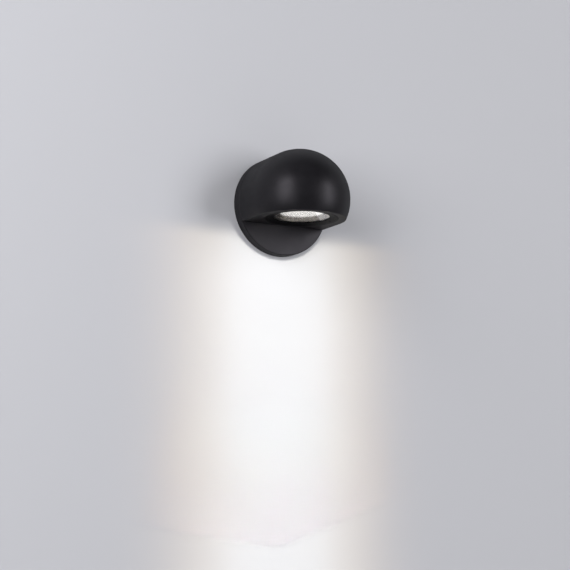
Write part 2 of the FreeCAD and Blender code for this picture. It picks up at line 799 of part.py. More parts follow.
def make_lock_nut():
    """Thin hexagon nut on the end of the nipple, its corners chamfered at both faces."""
    body = new_body("lock_nut")
    flat, corner = of("nut_across_flats") / 2, of("nut_across_flats") / math.sqrt(3)
    sk = sketch(body, "hexagon_outline", "XZ_Plane", nut_back_depth)
    outline(sk, hexagon(corner))
    circle(sk, 0, 0, of("nipple_radius"))
    pad(body, "hexagon", sk, of("nut_thickness"))
    far = corner + OVERSHOOT
    fall = (far - flat) * NUT_CHAMFER_SLOPE
    near = flat - OVERSHOOT / NUT_CHAMFER_SLOPE
    back, front = -nut_back_depth, -nut_back_depth - of("nut_thickness")
    sk = sketch(body, "chamfer_profile", "XY_Plane")
    outline(sk, [(near, back + OVERSHOOT), (far, back - fall), (far, back + OVERSHOOT)])
    outline(sk, [(near, front - OVERSHOOT), (far, front - OVERSHOOT), (far, front + fall)])
    groove(body, "chamfers", sk)
    return body


# ------------------------------------------------------------------------------------------------
# Head: what turns
# ------------------------------------------------------------------------------------------------

def dome_profile(radius, back_depth):
    """Half section of a cylinder that runs out into a half dome."""
    centre = dome_centre_depth
    return [(size(0), -centre - radius, radius, "left"), (radius, -centre), (radius, -back_depth),
            (size(0), -back_depth)]


def chop_below(body, level):
    """Cut away everything below a level."""
    far = of("body_radius") * 2
    sk = sketch(body, "chop_outline", "XZ_Plane")
    outline(sk, box_corners(-far, -far, far, level))
    return pocket(body, "chop", sk)


def underside_edges(feature):
    """Names of the flat underside's edges, apart from the straight one at the back."""
    level = -underside_drop.value
    names = []
    for number, edge in enumerate(feature.Shape.Edges, start=1):
        box = edge.BoundBox
        flat = abs(box.ZMin - level) < 1e-4 and abs(box.ZMax - level) < 1e-4
        at_back = abs(box.YMin - box.YMax) < 1e-4
        if flat and not at_back:
            names.append(f"Edge{number}")
    return names


def make_head_core():
    """The hollow of the head: the inner dome above the floor, round the glass seat's wall."""
    body = new_body("head_core")
    turn(body, "hollow", dome_profile(head_inner_radius, head_back_depth - OVERSHOOT))
    chop_below(body, floor_level)
    sk = sketch(body, "seat_outline", "XY_Plane", floor_level)
    circle(sk, 0, -lamp_axis_depth, seat_outer_radius)
    pocket(body, "seat_wall", sk, seat_top - of("underside_wall"), along_normal=True)
    return body


def make_head_shell():
    """Cast shell, open at the back, with four posts and a stepped bore for the glass."""
    body = new_body("head_shell")
    turn(body, "dome", dome_profile(of("body_radius"), head_back_depth))
    chopped = chop_below(body, -underside_drop)
    doc.recompute()
    edge = body.newObject("PartDesign::Fillet", "head_shell_edge")
    edge.Base = (chopped, underside_edges(chopped))
    edge.setExpression("Radius", of("underside_edge_radius").formula)
    doc.recompute()
    hollow = body.newObject("PartDesign::Boolean", "head_shell_hollow")
    hollow.Type = "Cut"
    hollow.setObjects([make_head_core()])
    sk = sketch(body, "post_outline", "XZ_Plane", plate_inner_depth)
    for x, z in post_places:
        circle(sk, x, z, of("post_radius"))
    pad(body, "posts", sk, of("post_length"))
    sk = sketch(body, "post_hole_outline", "XZ_Plane", plate_inner_depth)
    for x, z in post_places:
        circle(sk, x, z, of("small_screw_radius"))
    pocket(body, "post_holes", sk, of("post_length") - of("head_wall"), along_normal=True)
    sk = sketch(body, "lens_bore_profile", "XZ_Plane", lamp_axis_depth)
    base, bevel = -underside_drop, of("recess_chamfer")
    below, above = base - OVERSHOOT, base + seat_top + OVERSHOOT
    outline(sk, [
        (0, below), (recess_radius + bevel + OVERSHOOT, below), (recess_radius, base + bevel),
        (recess_radius, base + recess_depth), (thread_bore_radius, base + recess_depth),
        (thread_bore_radius, base + seat_height), (lens_bore_radius, base + seat_height),
        (lens_bore_radius, above), (0, above)])
    groove(body, "lens_bore", sk)
    return body


def make_head_back_plate():
    """D-shaped plate set into the back of the shell; it carries the pivot and the bracket."""
    body = new_body("head_back_plate")
    sk = sketch(body, "disc_outline", "XZ_Plane", head_back_depth)
    circle(sk, 0, 0, head_inner_radius - of("back_plate_clearance"))
    pad(body, "disc", sk, of("back_plate_thickness"))
    chop_below(body, floor_level + of("back_plate_clearance"))
    sk = sketch(body, "pad_outline", "XZ_Plane", head_back_depth + of("back_plate_thickness") / 2)
    for x, z in pad_places():
        circle(sk, x, z, of("pad_radius"))
    pad(body, "pads", sk, of("pad_height") + of("back_plate_thickness") / 2)
    sk = sketch(body, "pad_hole_outline", "XZ_Plane", pad_face_depth)
    for x, z in bracket_screw_places():
        circle(sk, x, z, of("small_screw_radius"))
    circle(sk, -of("head_earth_x"), -of("head_earth_drop"), of("earth_screw_radius"))
    pocket(body, "pad_holes", sk, of("small_screw_length"))
    sk = sketch(body, "bush_hole_outline", "XZ_Plane")
    circle(sk, 0, 0, of("bush_radius"))
    for x, z in post_places:
        circle(sk, x, z, of("small_screw_radius"))
    pocket(body, "through_holes", sk)
    sk = sketch(body, "counterbore_outline", "XZ_Plane", head_back_depth)
    for x, z in post_places:
        circle(sk, x, z, of("plate_screw_head_radius") + of("plate_screw_head_clearance"))
    pocket(body, "counterbores", sk, of("plate_screw_head_height") + of("plate_screw_head_clearance"),
           along_normal=True)
    sk = sketch(body, "pin_hole_outline", "XZ_Plane", head_back_depth)
    circle(sk, of("track_radius"), 0, of("pin_radius"))
    pocket(body, "pin_hole", sk, of("pin_inset"), along_normal=True)
    return body


def bracket_screw_places():
    """The two screws of the bracket's foot."""
    half = of("bracket_screw_spacing") / 2
    return [(-half, of("bracket_screw_height")), (half, of("bracket_screw_height"))]


def pad_places():
    """Raised pads of the back plate: two for the bracket and one for the earth tag."""
    return bracket_screw_places() + [(-of("head_earth_x"), -of("head_earth_drop"))]


def make_back_plate_screws():
    """Four screws, their heads sunk below the back plate's rear face."""
    members = []
    for i, (x, z) in enumerate(post_places, start=1):
        body = screw(f"back_plate_screw_{i}", of("small_screw_radius"),
                     of("post_length") - of("head_wall"),
                     of("plate_screw_head_radius"), of("plate_screw_head_height"))
        depth = head_back_depth + of("plate_screw_head_height") + of("plate_screw_head_clearance")
        members.append(place(body, x, -depth, z, **TOWARDS_WALL))
    return group("back_plate_screws", members)


def make_pivot_bush():
    """Flanged nylon bush, pressed into the back plate; its flange sets the seam's gap."""
    body = new_body("pivot_bush")
    bore = of("nipple_radius") + of("pivot_clearance")
    seat = -of("base_depth") + of("bush_recess_depth")
    turn(body, "bush", [
        (bore, -plate_inner_depth), (of("bush_radius"), -plate_inner_depth),
        (of("bush_radius"), -head_back_depth), (of("bush_flange_radius"), -head_back_depth),
        (of("bush_flange_radius"), seat), (bore, seat)])
    return body


def make_stop_pin():
    """Steel pin in the back plate that runs in the base's arc groove."""
    body = new_body("stop_pin")
    tip = -track_floor_depth - of("pin_tip_clearance")
    turn(body, "pin", box_corners(size(0), -head_back_depth - of("pin_inset"), of("pin_radius"), tip))
    return place(body, of("track_radius"), 0, 0)


def make_holder_bracket():
    """Bent steel strap: its foot is screwed to the back plate and its arm holds the lamp holder."""
    body = new_body("holder_bracket")
    sheet_metal, inner = of("bracket_thickness"), of("bracket_bend_radius")
    outer = inner + sheet_metal
    back, front, foot = -pad_face_depth, -bracket_front_depth, of("bracket_foot_height")
    sk = sketch(body, "section", "YZ_Plane")
    outline(sk, [
        (back, foot), (back, bracket_top - outer, outer, "left"), (back - outer, bracket_top),
        (front, bracket_top), (front, holder_top),
        (back - outer, holder_top, inner, "right"), (back - sheet_metal, holder_top - inner),
        (back - sheet_metal, foot)])
    pad(body, "strap", sk, of("bracket_width"), both_ways=True)
    sk = sketch(body, "foot_hole_outline", "XZ_Plane")
    for x, z in bracket_screw_places():
        circle(sk, x, z, of("small_screw_radius"))
    pocket(body, "foot_holes", sk)
    sk = sketch(body, "arm_hole_outline", "XY_Plane")
    for side in (-1, 1):
        circle(sk, of("bracket_screw_spacing") / (2 * side), -lamp_axis_depth,
               of("small_screw_radius"))
    pocket(body, "arm_holes", sk)
    return body


def small_screw(name, length):
    """M3 screw with a low head."""
    return screw(name, of("small_screw_radius"), length, of("small_screw_head_radius"),
                 of("small_screw_head_height"))


def make_bracket_screws():
    """Two screws through the bracket's foot into the back plate's pads."""
    members = []
    for i, (x, z) in enumerate(bracket_screw_places(), start=1):
        body = small_screw(f"bracket_screw_{i}", of("small_screw_length"))
        members.append(place(body, x, -pad_face_depth - of("bracket_thickness"), z, **TOWARDS_ROOM))
    return group("bracket_screws", members)


def make_lampholder():
    """Ceramic twist-lock holder: two wide pin holes, each with a curved slot to where it locks."""
    body = new_body("lampholder")
    sk = sketch(body, "block_outline", "XY_Plane", lamp_top)
    half_x, half_y = of("holder_length") / 2, of("holder_width") / 2
    outline(sk, rounded_box(half_x, half_y, of("holder_corner_radius")))
    pad(body, "block", sk, of("holder_height"))
    sk = sketch(body, "socket_outline", "XY_Plane", lamp_top)
    for side in (-1, 1):
        circle(sk, of("pin_spacing") / (2 * side), 0, of("socket_radius"))
    twist, reach = of("socket_twist_angle"), of("pin_spacing") / 2
    for turning in (twist, twist + 180):
        circle(sk, *turned(reach, turning), of("socket_radius"))
    pocket(body, "sockets", sk, of("socket_depth"), along_normal=True)
    slot_half = of("pin_neck_radius") + of("socket_slot_margin")
    sk = sketch(body, "slot_profile", "XZ_Plane")
    for low, high in ((reach - slot_half, reach + slot_half), (-reach - slot_half, slot_half - reach)):
        outline(sk, box_corners(low, lamp_top - OVERSHOOT, high, lamp_top + of("socket_depth")))
    groove(body, "slots", sk, "1 deg * Sizes.socket_twist_angle", both_ways=False)
    sk = sketch(body, "screw_hole_outline", "XY_Plane", lamp_top + of("holder_height"))
    for side in (-1, 1):
        circle(sk, of("bracket_screw_spacing") / (2 * side), 0, of("small_screw_radius"))
    pocket(body, "screw_holes", sk, of("small_screw_length"))
    return at_lamp(body)


def rounded_box(half_x, half_y, radius):
    """Corners of a rectangle about the origin with rounded corners."""
    x, y = half_x - radius, half_y - radius
    return [(-x, -half_y), (x, -half_y, radius, "left"), (half_x, -y), (half_x, y, radius, "left"),
            (x, half_y), (-x, half_y, radius, "left"), (-half_x, y), (-half_x, -y, radius, "left")]


def make_lampholder_screws():
    """Two screws through the bracket's arm into the holder."""
    members = []
    for i, side in enumerate((-1, 1), start=1):
        body = small_screw(f"lampholder_screw_{i}", of("small_screw_length") + of("bracket_thickness"))
        members.append(place(body, of("bracket_screw_spacing") / (2 * side), -lamp_axis_depth,
                             bracket_top))
    return group("lampholder_screws", members)


def make_lamp_body():
    """Reflector lamp: rim, ribbed cooling cone and the narrow cap that enters the holder."""
    body = new_body("lamp_body")
    face, rim_top = lamp_face_height, lamp_face_height + of("lamp_rim_height")
    lens_back = face + of("lamp_lens_thickness")
    lens_radius = lamp_radius - of("lamp_rim_wall")
    shoulder = lamp_top - of("lamp_base_height")
    step = of("lamp_base_step")
    neck_radius = of("lamp_base_radius") + step
    turn(body, "envelope", [
        (0, lens_back), (lens_radius, lens_back), (lens_radius, face), (lamp_radius, face),
        (lamp_radius, rim_top), (lamp_radius - step, rim_top + step),
        (neck_radius, shoulder - step), (of("lamp_base_radius"), shoulder),
        (of("lamp_base_radius"), lamp_top), (0, lamp_top)], "XZ_Plane")
    sk = sketch(body, "rib_gap_outline", "XZ_Plane")
    wide, narrow, deep = lamp_radius - step, neck_radius, of("lamp_rib_depth")
    low, high = rim_top + step + of("lamp_rib_end"), shoulder - step - of("lamp_rib_end")
    outline(sk, [(wide - deep, low), (wide + OVERSHOOT, low), (narrow + OVERSHOOT, high),
                 (narrow - deep, high)])
    gap = pocket(body, "rib_gap", sk, of("lamp_rib_gap"), both_ways=True)
    repeat_round(body, "ribs", gap, sk, LAMP_RIBS)
    return at_lamp(body)


def make_lamp_lens():
    """Bright face of the lamp, let into its rim."""
    face = lamp_face_height
    body = new_body("lamp_lens")
    turn(body, "disc", box_corners(size(0), face, lamp_radius - of("lamp_rim_wall"),
                                   face + of("lamp_lens_thickness")), "XZ_Plane")
    return at_lamp(body)


def make_lamp_pins():
    """Two headed pins, which the holder's contacts grip."""
    members = []
    neck_top = lamp_top + of("pin_neck_length")
    head_top = neck_top + of("pin_head_length")
    for i, side in enumerate((-1, 1), start=1):
        body = new_body(f"lamp_pin_{i}")
        turn(body, "pin", [
            (size(0), lamp_top), (of("pin_neck_radius"), lamp_top), (of("pin_neck_radius"), neck_top),
            (of("pin_head_radius"), neck_top), (of("pin_head_radius"), head_top),
            (size(0), head_top)], "XZ_Plane")
        members.append(at_lamp(body, of("pin_spacing") / (2 * side)))
    return group("lamp_pins", members)


def make_reflector_ring():
    """Bright cone that stands on the glass and reaches up to the lamp's rim."""
    body = new_body("reflector_ring")
    wall = of("reflector_wall")
    high = lamp_face_height - of("reflector_clearance")
    wide = lens_bore_radius - of("reflector_clearance")
    narrow = lamp_radius - of("lamp_rim_wall")
    turn(body, "cone", [(wide - wall, glass_top), (wide, glass_top), (wide, glass_top + wall),
                        (narrow + wall, high), (narrow, high)], "XZ_Plane")
    return at_lamp(body)


def make_glass():
    """Clear front glass."""
    body = new_body("glass")
    turn(body, "disc", box_corners(size(0), of("glass_height"), glass_radius, glass_top), "XZ_Plane")
    return at_lamp(body)


def make_glass_gasket():
    """Silicone ring between the glass and its seat."""
    return at_lamp(tube("glass_gasket", lens_bore_radius, glass_radius, glass_top, seat_height,
                        "XZ_Plane"))


def make_bezel_ring():
    """Screwed ring: a narrow rim, a shallow cone down to the glass, and a skirt inside."""
    body = new_body("bezel_ring")
    base, lip = of("bezel_inset"), of("glass_height")
    skirt_top = seat_height - of("bezel_lip_edge")
    turn(body, "ring", [
        (bezel_radius - of("bezel_rim_width"), base), (bezel_radius, base),
        (bezel_radius, flange_top), (bezel_thread_radius, flange_top),
        (bezel_thread_radius, skirt_top), (bezel_skirt_radius, skirt_top),
        (bezel_skirt_radius, lip), (bezel_opening_radius, lip),
        (bezel_opening_radius, lip - of("bezel_lip_edge"))], "XZ_Plane")
    sk = sketch(body, "spanner_hole_outline", "XY_Plane")
    for side in (-1, 1):
        circle(sk, (bezel_skirt_radius + of("bezel_skirt_wall") / 2) * side, 0,
               of("spanner_hole_radius"))
    pocket(body, "spanner_holes", sk, of("spanner_hole_depth"), along_normal=True)
    return at_lamp(body)


def make_bezel_seal():
    """Flat ring between the bezel's flange and the recess."""
    return at_lamp(tube("bezel_seal", thread_bore_radius, bezel_radius, flange_top, recess_depth,
                        "XZ_Plane"))


# ------------------------------------------------------------------------------------------------
# Leads: single cores, straight runs joined by tangent arcs
# ------------------------------------------------------------------------------------------------

def lead_path(points):
    """The wire through the points with its corners rounded, and the smallest radius on it."""
    edges, radii = [], []
    start = points[0]
    for i in range(1, len(points) - 1):
        back, ahead = points[i - 1] - points[i], points[i + 1] - points[i]
        half_turn = (math.pi - back.getAngle(ahead)) / 2
        tangent = LEAD_RUN_SHARE * min(back.Length, ahead.Length)
        radius = tangent / math.tan(half_turn)
        back.normalize()
        ahead.normalize()
        first, last = points[i] + back * tangent, points[i] + ahead * tangent
        inward = (back + ahead).normalize()
        middle = points[i] + inward * (radius / math.cos(half_turn) - radius)
        edges.append(Part.LineSegment(start, first).toShape())
        edges.append(Part.Arc(first, middle, last).toShape())
        radii.append(radius)
        start = last
    edges.append(Part.LineSegment(start, points[-1]).toShape())
    return Part.Wire(edges), min(radii)


def make_lead(name, places):
    """A round lead along places (x, depth, z)."""
    points = [FreeCAD.Vector(size(x).value, -size(depth).value, size(z).value)
              for x, depth, z in places]
    wire, tightest = lead_path(points)
    radius = SIZES["lead_radius"]
    section = Part.Wire(Part.Circle(points[0], points[1] - points[0], radius).toShape())
    solid = wire.makePipeShell([section], True, False)
    share = solid.Volume / (math.pi * radius ** 2 * wire.Length)
    print(f"{name}: length {wire.Length:.1f}, tightest radius {tightest:.1f}, volume share {share:.4f}")
    lead = doc.addObject("Part::Feature", name)
    lead.Label = name
    lead.Shape = solid
    return lead


def make_base_leads():
    """Live, neutral and earth from the terminal block into the nipple's front mouth."""
    mouth, plane = nipple_end_depth, of("lead_plane_depth")
    end, spread = of("block_base") + of("sleeve_inset"), of("pole_pitch")
    low, high = end / 3, end / 1.5
    leads = []
    for name, side in (("base_live_lead", -1), ("base_neutral_lead", 1)):
        x, z, far = of("lead_offset_x") * side, of("lead_offset_z"), spread * side
        leads.append(make_lead(name, [
            (x, mouth, z), (x, plane, z), (between(x, far, BASE_LEAD_FAN), plane, low),
            (far, pole_depth, high), (far, pole_depth, end)]))
    drop = -of("earth_lead_drop")
    leads.append(make_lead("base_earth_lead", [
        (0, mouth, drop), (0, plane, drop), (0, plane, low), (0, pole_depth, high),
        (0, pole_depth, end)]))
    return leads


def make_head_leads():
    """The same three cores from the nipple's mouth to the holder and to the head's earth tag."""
    mouth, holder_back = nipple_end_depth, lamp_axis_depth - of("holder_width") / 2
    entry = holder_bottom + of("holder_height") / 2
    leads = []
    for name, side in (("head_live_lead", -1), ("head_neutral_lead", 1)):
        x, z = of("lead_offset_x") * side, of("lead_offset_z")
        far = of("holder_length") * (side / 4)
        leave = between(mouth, holder_back, HEAD_LEAD_EXIT)
        steps = [(between(x, far, across), between(mouth, holder_back, out), entry * up)
                 for across, out, up in HEAD_LEAD_STEPS]
        leads.append(make_lead(name, [(x, mouth, z), (x, leave, z)] + steps
                               + [(far, holder_back, entry)]))
    barrel_x = of("tag_reach") - of("head_earth_x")
    barrel_mouth = pad_face_depth + of("tag_thickness") + of("head_barrel_length")
    drop, level = -of("earth_lead_drop"), -of("head_earth_drop")
    leave, turn_back, arrive = [between(mouth, holder_back, out) for out in HEAD_EARTH_LOOP]
    leads.append(make_lead("head_earth_lead", [
        (0, mouth, drop), (0, leave, drop), (barrel_x / 2, turn_back, between(drop, level, 0.5)),
        (barrel_x, arrive, level), (barrel_x, barrel_mouth, level)]))
    return leads


# ------------------------------------------------------------------------------------------------
# Assembly
# ------------------------------------------------------------------------------------------------

pieces = [
    make_wall_plate(), make_wall_base(), make_base_gasket(), make_grub_screws(), make_cable_grommet(),
    make_terminal_block(), make_terminal_sleeves(), make_terminal_screws(),
    make_terminal_fixing_screws(),
    place(make_earth_tag("earth_tag", block_front_depth - of("plate_thickness")
                         - of("tag_thickness")),
          of("earth_x"), -of("plate_thickness"), of("earth_z")),
    place(make_earth_screw("earth_screw", of("plate_thickness") + of("tag_thickness")),
          of("earth_x"), -of("plate_thickness") - of("tag_thickness"), of("earth_z"), **TOWARDS_ROOM),
    make_pivot_nipple(), make_disc_spring(),
    tube("thrust_washer", washer_bore_radius, of("washer_radius"), -nut_back_depth,
         -spring_front_depth),
    make_lock_nut(),
    make_head_shell(), make_head_back_plate(), make_back_plate_screws(), make_pivot_bush(),
    tube("friction_washer", washer_bore_radius, of("washer_radius"), -spring_back_depth,
         -plate_inner_depth),
    make_stop_pin(), make_holder_bracket(), make_bracket_screws(), make_lampholder(),
    make_lampholder_screws(), make_lamp_body(), make_lamp_lens(), make_lamp_pins(),
    make_reflector_ring(), make_glass(), make_glass_gasket(), make_bezel_ring(), make_bezel_seal(),
    place(make_earth_tag("head_earth_tag", of("head_barrel_length")), -of("head_earth_x"),
          -pad_face_depth, -of("head_earth_drop")),
    place(make_earth_screw("head_earth_screw", of("small_screw_length") - of("tag_thickness")),
          -of("head_earth_x"), -pad_face_depth - of("tag_thickness"), -of("head_earth_drop"),
          **TOWARDS_ROOM),
]
pieces += make_base_leads() + make_head_leads()
doc.recompute()

faults = [f"{obj.Label}: {obj.State}" for obj in doc.Objects
          if "Invalid" in obj.State or "Error" in obj.State]
for piece in pieces:
    if piece.Shape.isNull() or not piece.Shape.isValid() or not piece.Shape.Solids:
        faults.append(f"{piece.Label}: no valid solid")
if faults:
    raise RuntimeError("\n".join(faults))

os.makedirs("parts", exist_ok=True)
for piece in pieces:
    piece.Shape.exportStep(os.path.join("parts", f"{piece.Label}.step"))
print(f"{len(pieces)} pieces")
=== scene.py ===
# A pivoting spotlight wall light: a disc base on the wall and a domed head that swivels on it.
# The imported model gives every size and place. This script gives each piece its finish, and makes
# the fine pieces again with their threads, drives and facets.
import math

import bmesh
import bpy
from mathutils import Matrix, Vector


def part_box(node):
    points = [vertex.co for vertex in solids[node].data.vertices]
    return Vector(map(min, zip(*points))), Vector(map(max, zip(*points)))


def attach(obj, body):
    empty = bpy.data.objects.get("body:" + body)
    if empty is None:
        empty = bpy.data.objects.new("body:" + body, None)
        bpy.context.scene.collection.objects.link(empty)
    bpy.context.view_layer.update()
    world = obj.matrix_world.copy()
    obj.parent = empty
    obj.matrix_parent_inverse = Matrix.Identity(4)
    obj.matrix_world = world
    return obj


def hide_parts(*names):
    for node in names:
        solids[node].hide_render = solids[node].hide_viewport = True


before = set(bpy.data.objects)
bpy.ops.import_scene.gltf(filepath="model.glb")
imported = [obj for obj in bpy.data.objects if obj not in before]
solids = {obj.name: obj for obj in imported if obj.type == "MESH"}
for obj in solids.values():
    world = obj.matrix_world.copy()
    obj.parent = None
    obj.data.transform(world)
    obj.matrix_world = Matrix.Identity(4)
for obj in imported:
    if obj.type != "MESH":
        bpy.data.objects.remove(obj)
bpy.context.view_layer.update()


# Camera: it stands low and to the left of the light and looks up at it, as in the photograph.
# Its place and angles come from a fit to the outline of the head and the disc.
pan, tilt = math.radians(28.883), math.radians(9.574)
toward = Vector((math.sin(pan) * math.cos(tilt), math.cos(pan) * math.cos(tilt), math.sin(tilt)))
camera = bpy.data.objects.new("camera", bpy.data.cameras.new("camera"))
camera.data.sensor_width = 36.0
camera.data.lens = 98.3
camera.data.clip_start, camera.data.clip_end = 0.01, 50.0
camera.location = (-0.80866, -1.48133, -0.37122)
camera.rotation_mode = "QUATERNION"
camera.rotation_quaternion = toward.to_track_quat("-Z", "Y")
bpy.context.scene.collection.objects.link(camera)
bpy.context.scene.camera = camera
bpy.context.scene.view_settings.view_transform = "Standard"


# Studio: a plain pale wall that the light hangs on, a plain pale floor and soft light.
# The wall has a hole behind the light, and from behind it can be seen through.
def node(tree, kind, inputs=(), **settings):
    """One node with its settings. An input is linked where it is given a socket, and else set."""
    made = tree.nodes.new(kind)
    for key, value in settings.items():
        setattr(made, key, value)
    for key, value in dict(inputs).items():
        if isinstance(value, bpy.types.NodeSocket):
            tree.links.new(value, made.inputs[key])
        else:
            made.inputs[key].default_value = value
    return made


def blend_tones(tree, share, dark, light):
    """The socket of a colour between two colours."""
    return node(tree, "ShaderNodeMix", {0: share, 6: dark, 7: light}, data_type="RGBA").outputs[2]


def spread(tree, value, low, high, start=0.0, end=1.0):
    """The socket of a value moved from one range to another."""
    return node(tree, "ShaderNodeMapRange",
                {0: value, 1: low, 2: high, 3: start, 4: end}).outputs[0]


def figure(tree, operation, first, second=0.0):
    """The socket of a sum, a product or another plain operation on two values."""
    return node(tree, "ShaderNodeMath", {0: first, 1: second}, operation=operation).outputs[0]


def new_finish(name, **values):
    """A material, its node tree and its shader, with values for the shader's own sockets."""
    material = bpy.data.materials.new(name)
    material.use_nodes = True
    shader = material.node_tree.nodes["Principled BSDF"]
    for socket, value in values.items():
        shader.inputs[socket.replace("_", " ")].default_value = value
    return material, material.node_tree, shader


def new_piece(name, mesh):
    """An object at the origin for a finished mesh."""
    piece = bpy.data.objects.new(name, mesh)
    bpy.context.scene.collection.objects.link(piece)
    return piece


def one_sided(name, color):
    """A matt finish that is seen from the front only."""
    material, tree, shader = new_finish(name, Roughness=0.9, Specular_IOR_Level=0.2)
    place = node(tree, "ShaderNodeTexCoord").outputs["Object"]
    clouds = node(tree, "ShaderNodeTexNoise", {"Vector": place, "Scale": 2.0, "Detail": 1.0})
    tone = blend_tones(tree, clouds.outputs[0], (*color, 1.0), (*[c * 0.985 for c in color], 1.0))
    tree.links.new(tone, shader.inputs["Base Color"])
    behind = node(tree, "ShaderNodeNewGeometry").outputs["Backfacing"]
    clear = node(tree, "ShaderNodeBsdfTransparent").outputs[0]
    both = node(tree, "ShaderNodeMixShader", {0: behind, 1: shader.outputs[0], 2: clear})
    tree.links.new(both.outputs[0], tree.nodes["Material Output"].inputs["Surface"])
    return material


def flat_stage(name, corners, material):
    """A flat sheet of the studio. Two outlines make a sheet with a hole."""
    mesh = bpy.data.meshes.new(name)
    sheet = bmesh.new()
    edges = []
    for outline in corners:
        ring = [sheet.verts.new(point) for point in outline]
        edges += [sheet.edges.new((ring[i - 1], ring[i])) for i in range(len(ring))]
    bmesh.ops.triangle_fill(sheet, edges=edges, use_beauty=True)
    sheet.to_mesh(mesh)
    sheet.free()
    mesh.materials.append(material)
    piece = new_piece(name, mesh)
    return piece


floor_height, wall_top = -2.4, 4.0
wall_reach, room_depth = 6.0, 8.0
hole_inset, hole_steps = 0.0006, 96
hole_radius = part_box("wall_base")[1].x - hole_inset
hole = [(hole_radius * math.cos(a), 0.0, hole_radius * math.sin(a))
        for a in (math.tau * i / hole_steps for i in range(hole_steps))]
wall_corners = [(-wall_reach, 0.0, floor_height), (wall_reach, 0.0, floor_height),
                (wall_reach, 0.0, wall_top), (-wall_reach, 0.0, wall_top)]
floor_corners = [(-wall_reach, -room_depth, floor_height), (wall_reach, -room_depth, floor_height),
                 (wall_reach, 0.0, floor_height), (-wall_reach, 0.0, floor_height)]
studio_wall = flat_stage("studio_wall", [wall_corners, hole],
                         one_sided("wall_paint", (0.54, 0.543, 0.553)))
studio_floor = flat_stage("studio_floor", [floor_corners],
                          one_sided("floor_paint", (0.66, 0.66, 0.66)))
for sheet, outward in ((studio_wall, Vector((0, -1, 0))), (studio_floor, Vector((0, 0, 1)))):
    if sheet.data.polygons[0].normal.dot(outward) < 0:
        sheet.data.flip_normals()

world = bpy.data.worlds.new("studio")
world.use_nodes = True
bpy.context.scene.world = world
room = world.node_tree
# The room is brighter towards the wall and to the left, and darker overhead.
facing = node(room, "ShaderNodeSeparateXYZ",
              {0: node(room, "ShaderNodeTexCoord").outputs["Generated"]}).outputs
level = spread(room, facing[1], -1.0, 1.0, 0.22, 0.5)
level = figure(room, "MULTIPLY", level, spread(room, facing[2], 0.0, 1.0, 1.0, 0.45))
level = figure(room, "MULTIPLY", level, spread(room, facing[0], -1.0, 1.0, 1.12, 0.8))
room.links.new(level, room.nodes["Background"].inputs["Strength"])
room.nodes["Background"].inputs["Color"].default_value = (1.0, 1.0, 1.03, 1.0)


def soft_box(name, azimuth, elevation, distance, width, height, watts, color):
    """A rectangular lamp that faces the light. Azimuth 0 is straight in front of the wall."""
    lamp = bpy.data.objects.new(name, bpy.data.lights.new(name, "AREA"))
    a, e = math.radians(azimuth), math.radians(elevation)
    back = Vector((math.sin(a) * math.cos(e), -math.cos(a) * math.cos(e), math.sin(e)))
    lamp.data.shape = "RECTANGLE"
    lamp.data.size, lamp.data.size_y = width, height
    lamp.data.energy = watts
    lamp.data.color = color
    lamp.location = back * distance
    lamp.rotation_mode = "QUATERNION"
    lamp.rotation_quaternion = (-back).to_track_quat("-Z", "Y")
    lamp.visible_camera = False
    bpy.context.scene.collection.objects.link(lamp)


cool_white = (1.0, 1.0, 1.05)
soft_box("left_box", -60, 13, 2.0, 1.0, 1.8, 36.0, cool_white)
soft_box("right_box", 38, 7, 4.0, 1.7, 2.8, 94.0, cool_white)


# Disc base: a shallow cast aluminium cup, open to the wall, in satin matt black powder coat.
# It hides the mounting plate, and its flat face is what the head turns against.
def new_group(name, kind, inputs, outputs):
    """A node group with named sockets, and the sockets inside it."""
    group = bpy.data.node_groups.new(name, kind)
    for label, socket in inputs:
        group.interface.new_socket(name=label, in_out="INPUT", socket_type="NodeSocket" + socket)
    for label, socket in outputs:
        group.interface.new_socket(name=label, in_out="OUTPUT", socket_type="NodeSocket" + socket)
    given = group.nodes.new("NodeGroupInput").outputs
    result = group.nodes.new("NodeGroupOutput").inputs
    return group, given, result


def make_grain():
    """Fine grain over broad clouds, for cast, moulded and coated surfaces."""
    group, given, result = new_group(
        "grain", "ShaderNodeTree",
        [("Vector", "Vector"), ("Dark Color", "Color"), ("Light Color", "Color"),
         ("Grain Scale", "Float"), ("Cloud Scale", "Float"),
         ("Low Roughness", "Float"), ("High Roughness", "Float")],
        [("Color", "Color"), ("Roughness", "Float"), ("Height", "Float")])
    grain = node(group, "ShaderNodeTexNoise", {"Vector": given["Vector"], "Detail": 3.0,
                                               "Scale": given["Grain Scale"]}).outputs[0]
    cloud = node(group, "ShaderNodeTexNoise", {"Vector": given["Vector"], "Detail": 2.0,
                                               "Scale": given["Cloud Scale"]}).outputs[0]
    tone = spread(group, figure(group, "ADD", grain, cloud), 0.75, 1.25)
    link = group.links.new
    link(blend_tones(group, tone, given["Dark Color"], given["Light Color"]), result["Color"])
    link(spread(group, cloud, 0.35, 0.65, given["Low Roughness"], given["High Roughness"]),
         result["Roughness"])
    link(grain, result["Height"])
    return group


def dress(name, group, pattern, bump, **values):
    """A finish from a pattern group. bump is its strength and its depth in metres."""
    material, tree, shader = new_finish(name, **values)
    place = node(tree, "ShaderNodeTexCoord").outputs["Object"]
    made = node(tree, "ShaderNodeGroup", node_tree=group)
    tree.links.new(place, made.inputs["Vector"])
    for key, value in pattern.items():
        made.inputs[key].default_value = value
    tree.links.new(made.outputs["Color"], shader.inputs["Base Color"])
    tree.links.new(made.outputs["Roughness"], shader.inputs["Roughness"])
    raised = node(tree, "ShaderNodeBump", {"Strength": bump[0], "Distance": bump[1],
                                           "Height": made.outputs["Height"]})
    tree.links.new(raised.outputs["Normal"], shader.inputs["Normal"])
    return material


def put_on(material, *names):
    """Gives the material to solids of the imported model."""
    for name in names:
        solids[name].material_slots[0].material = material


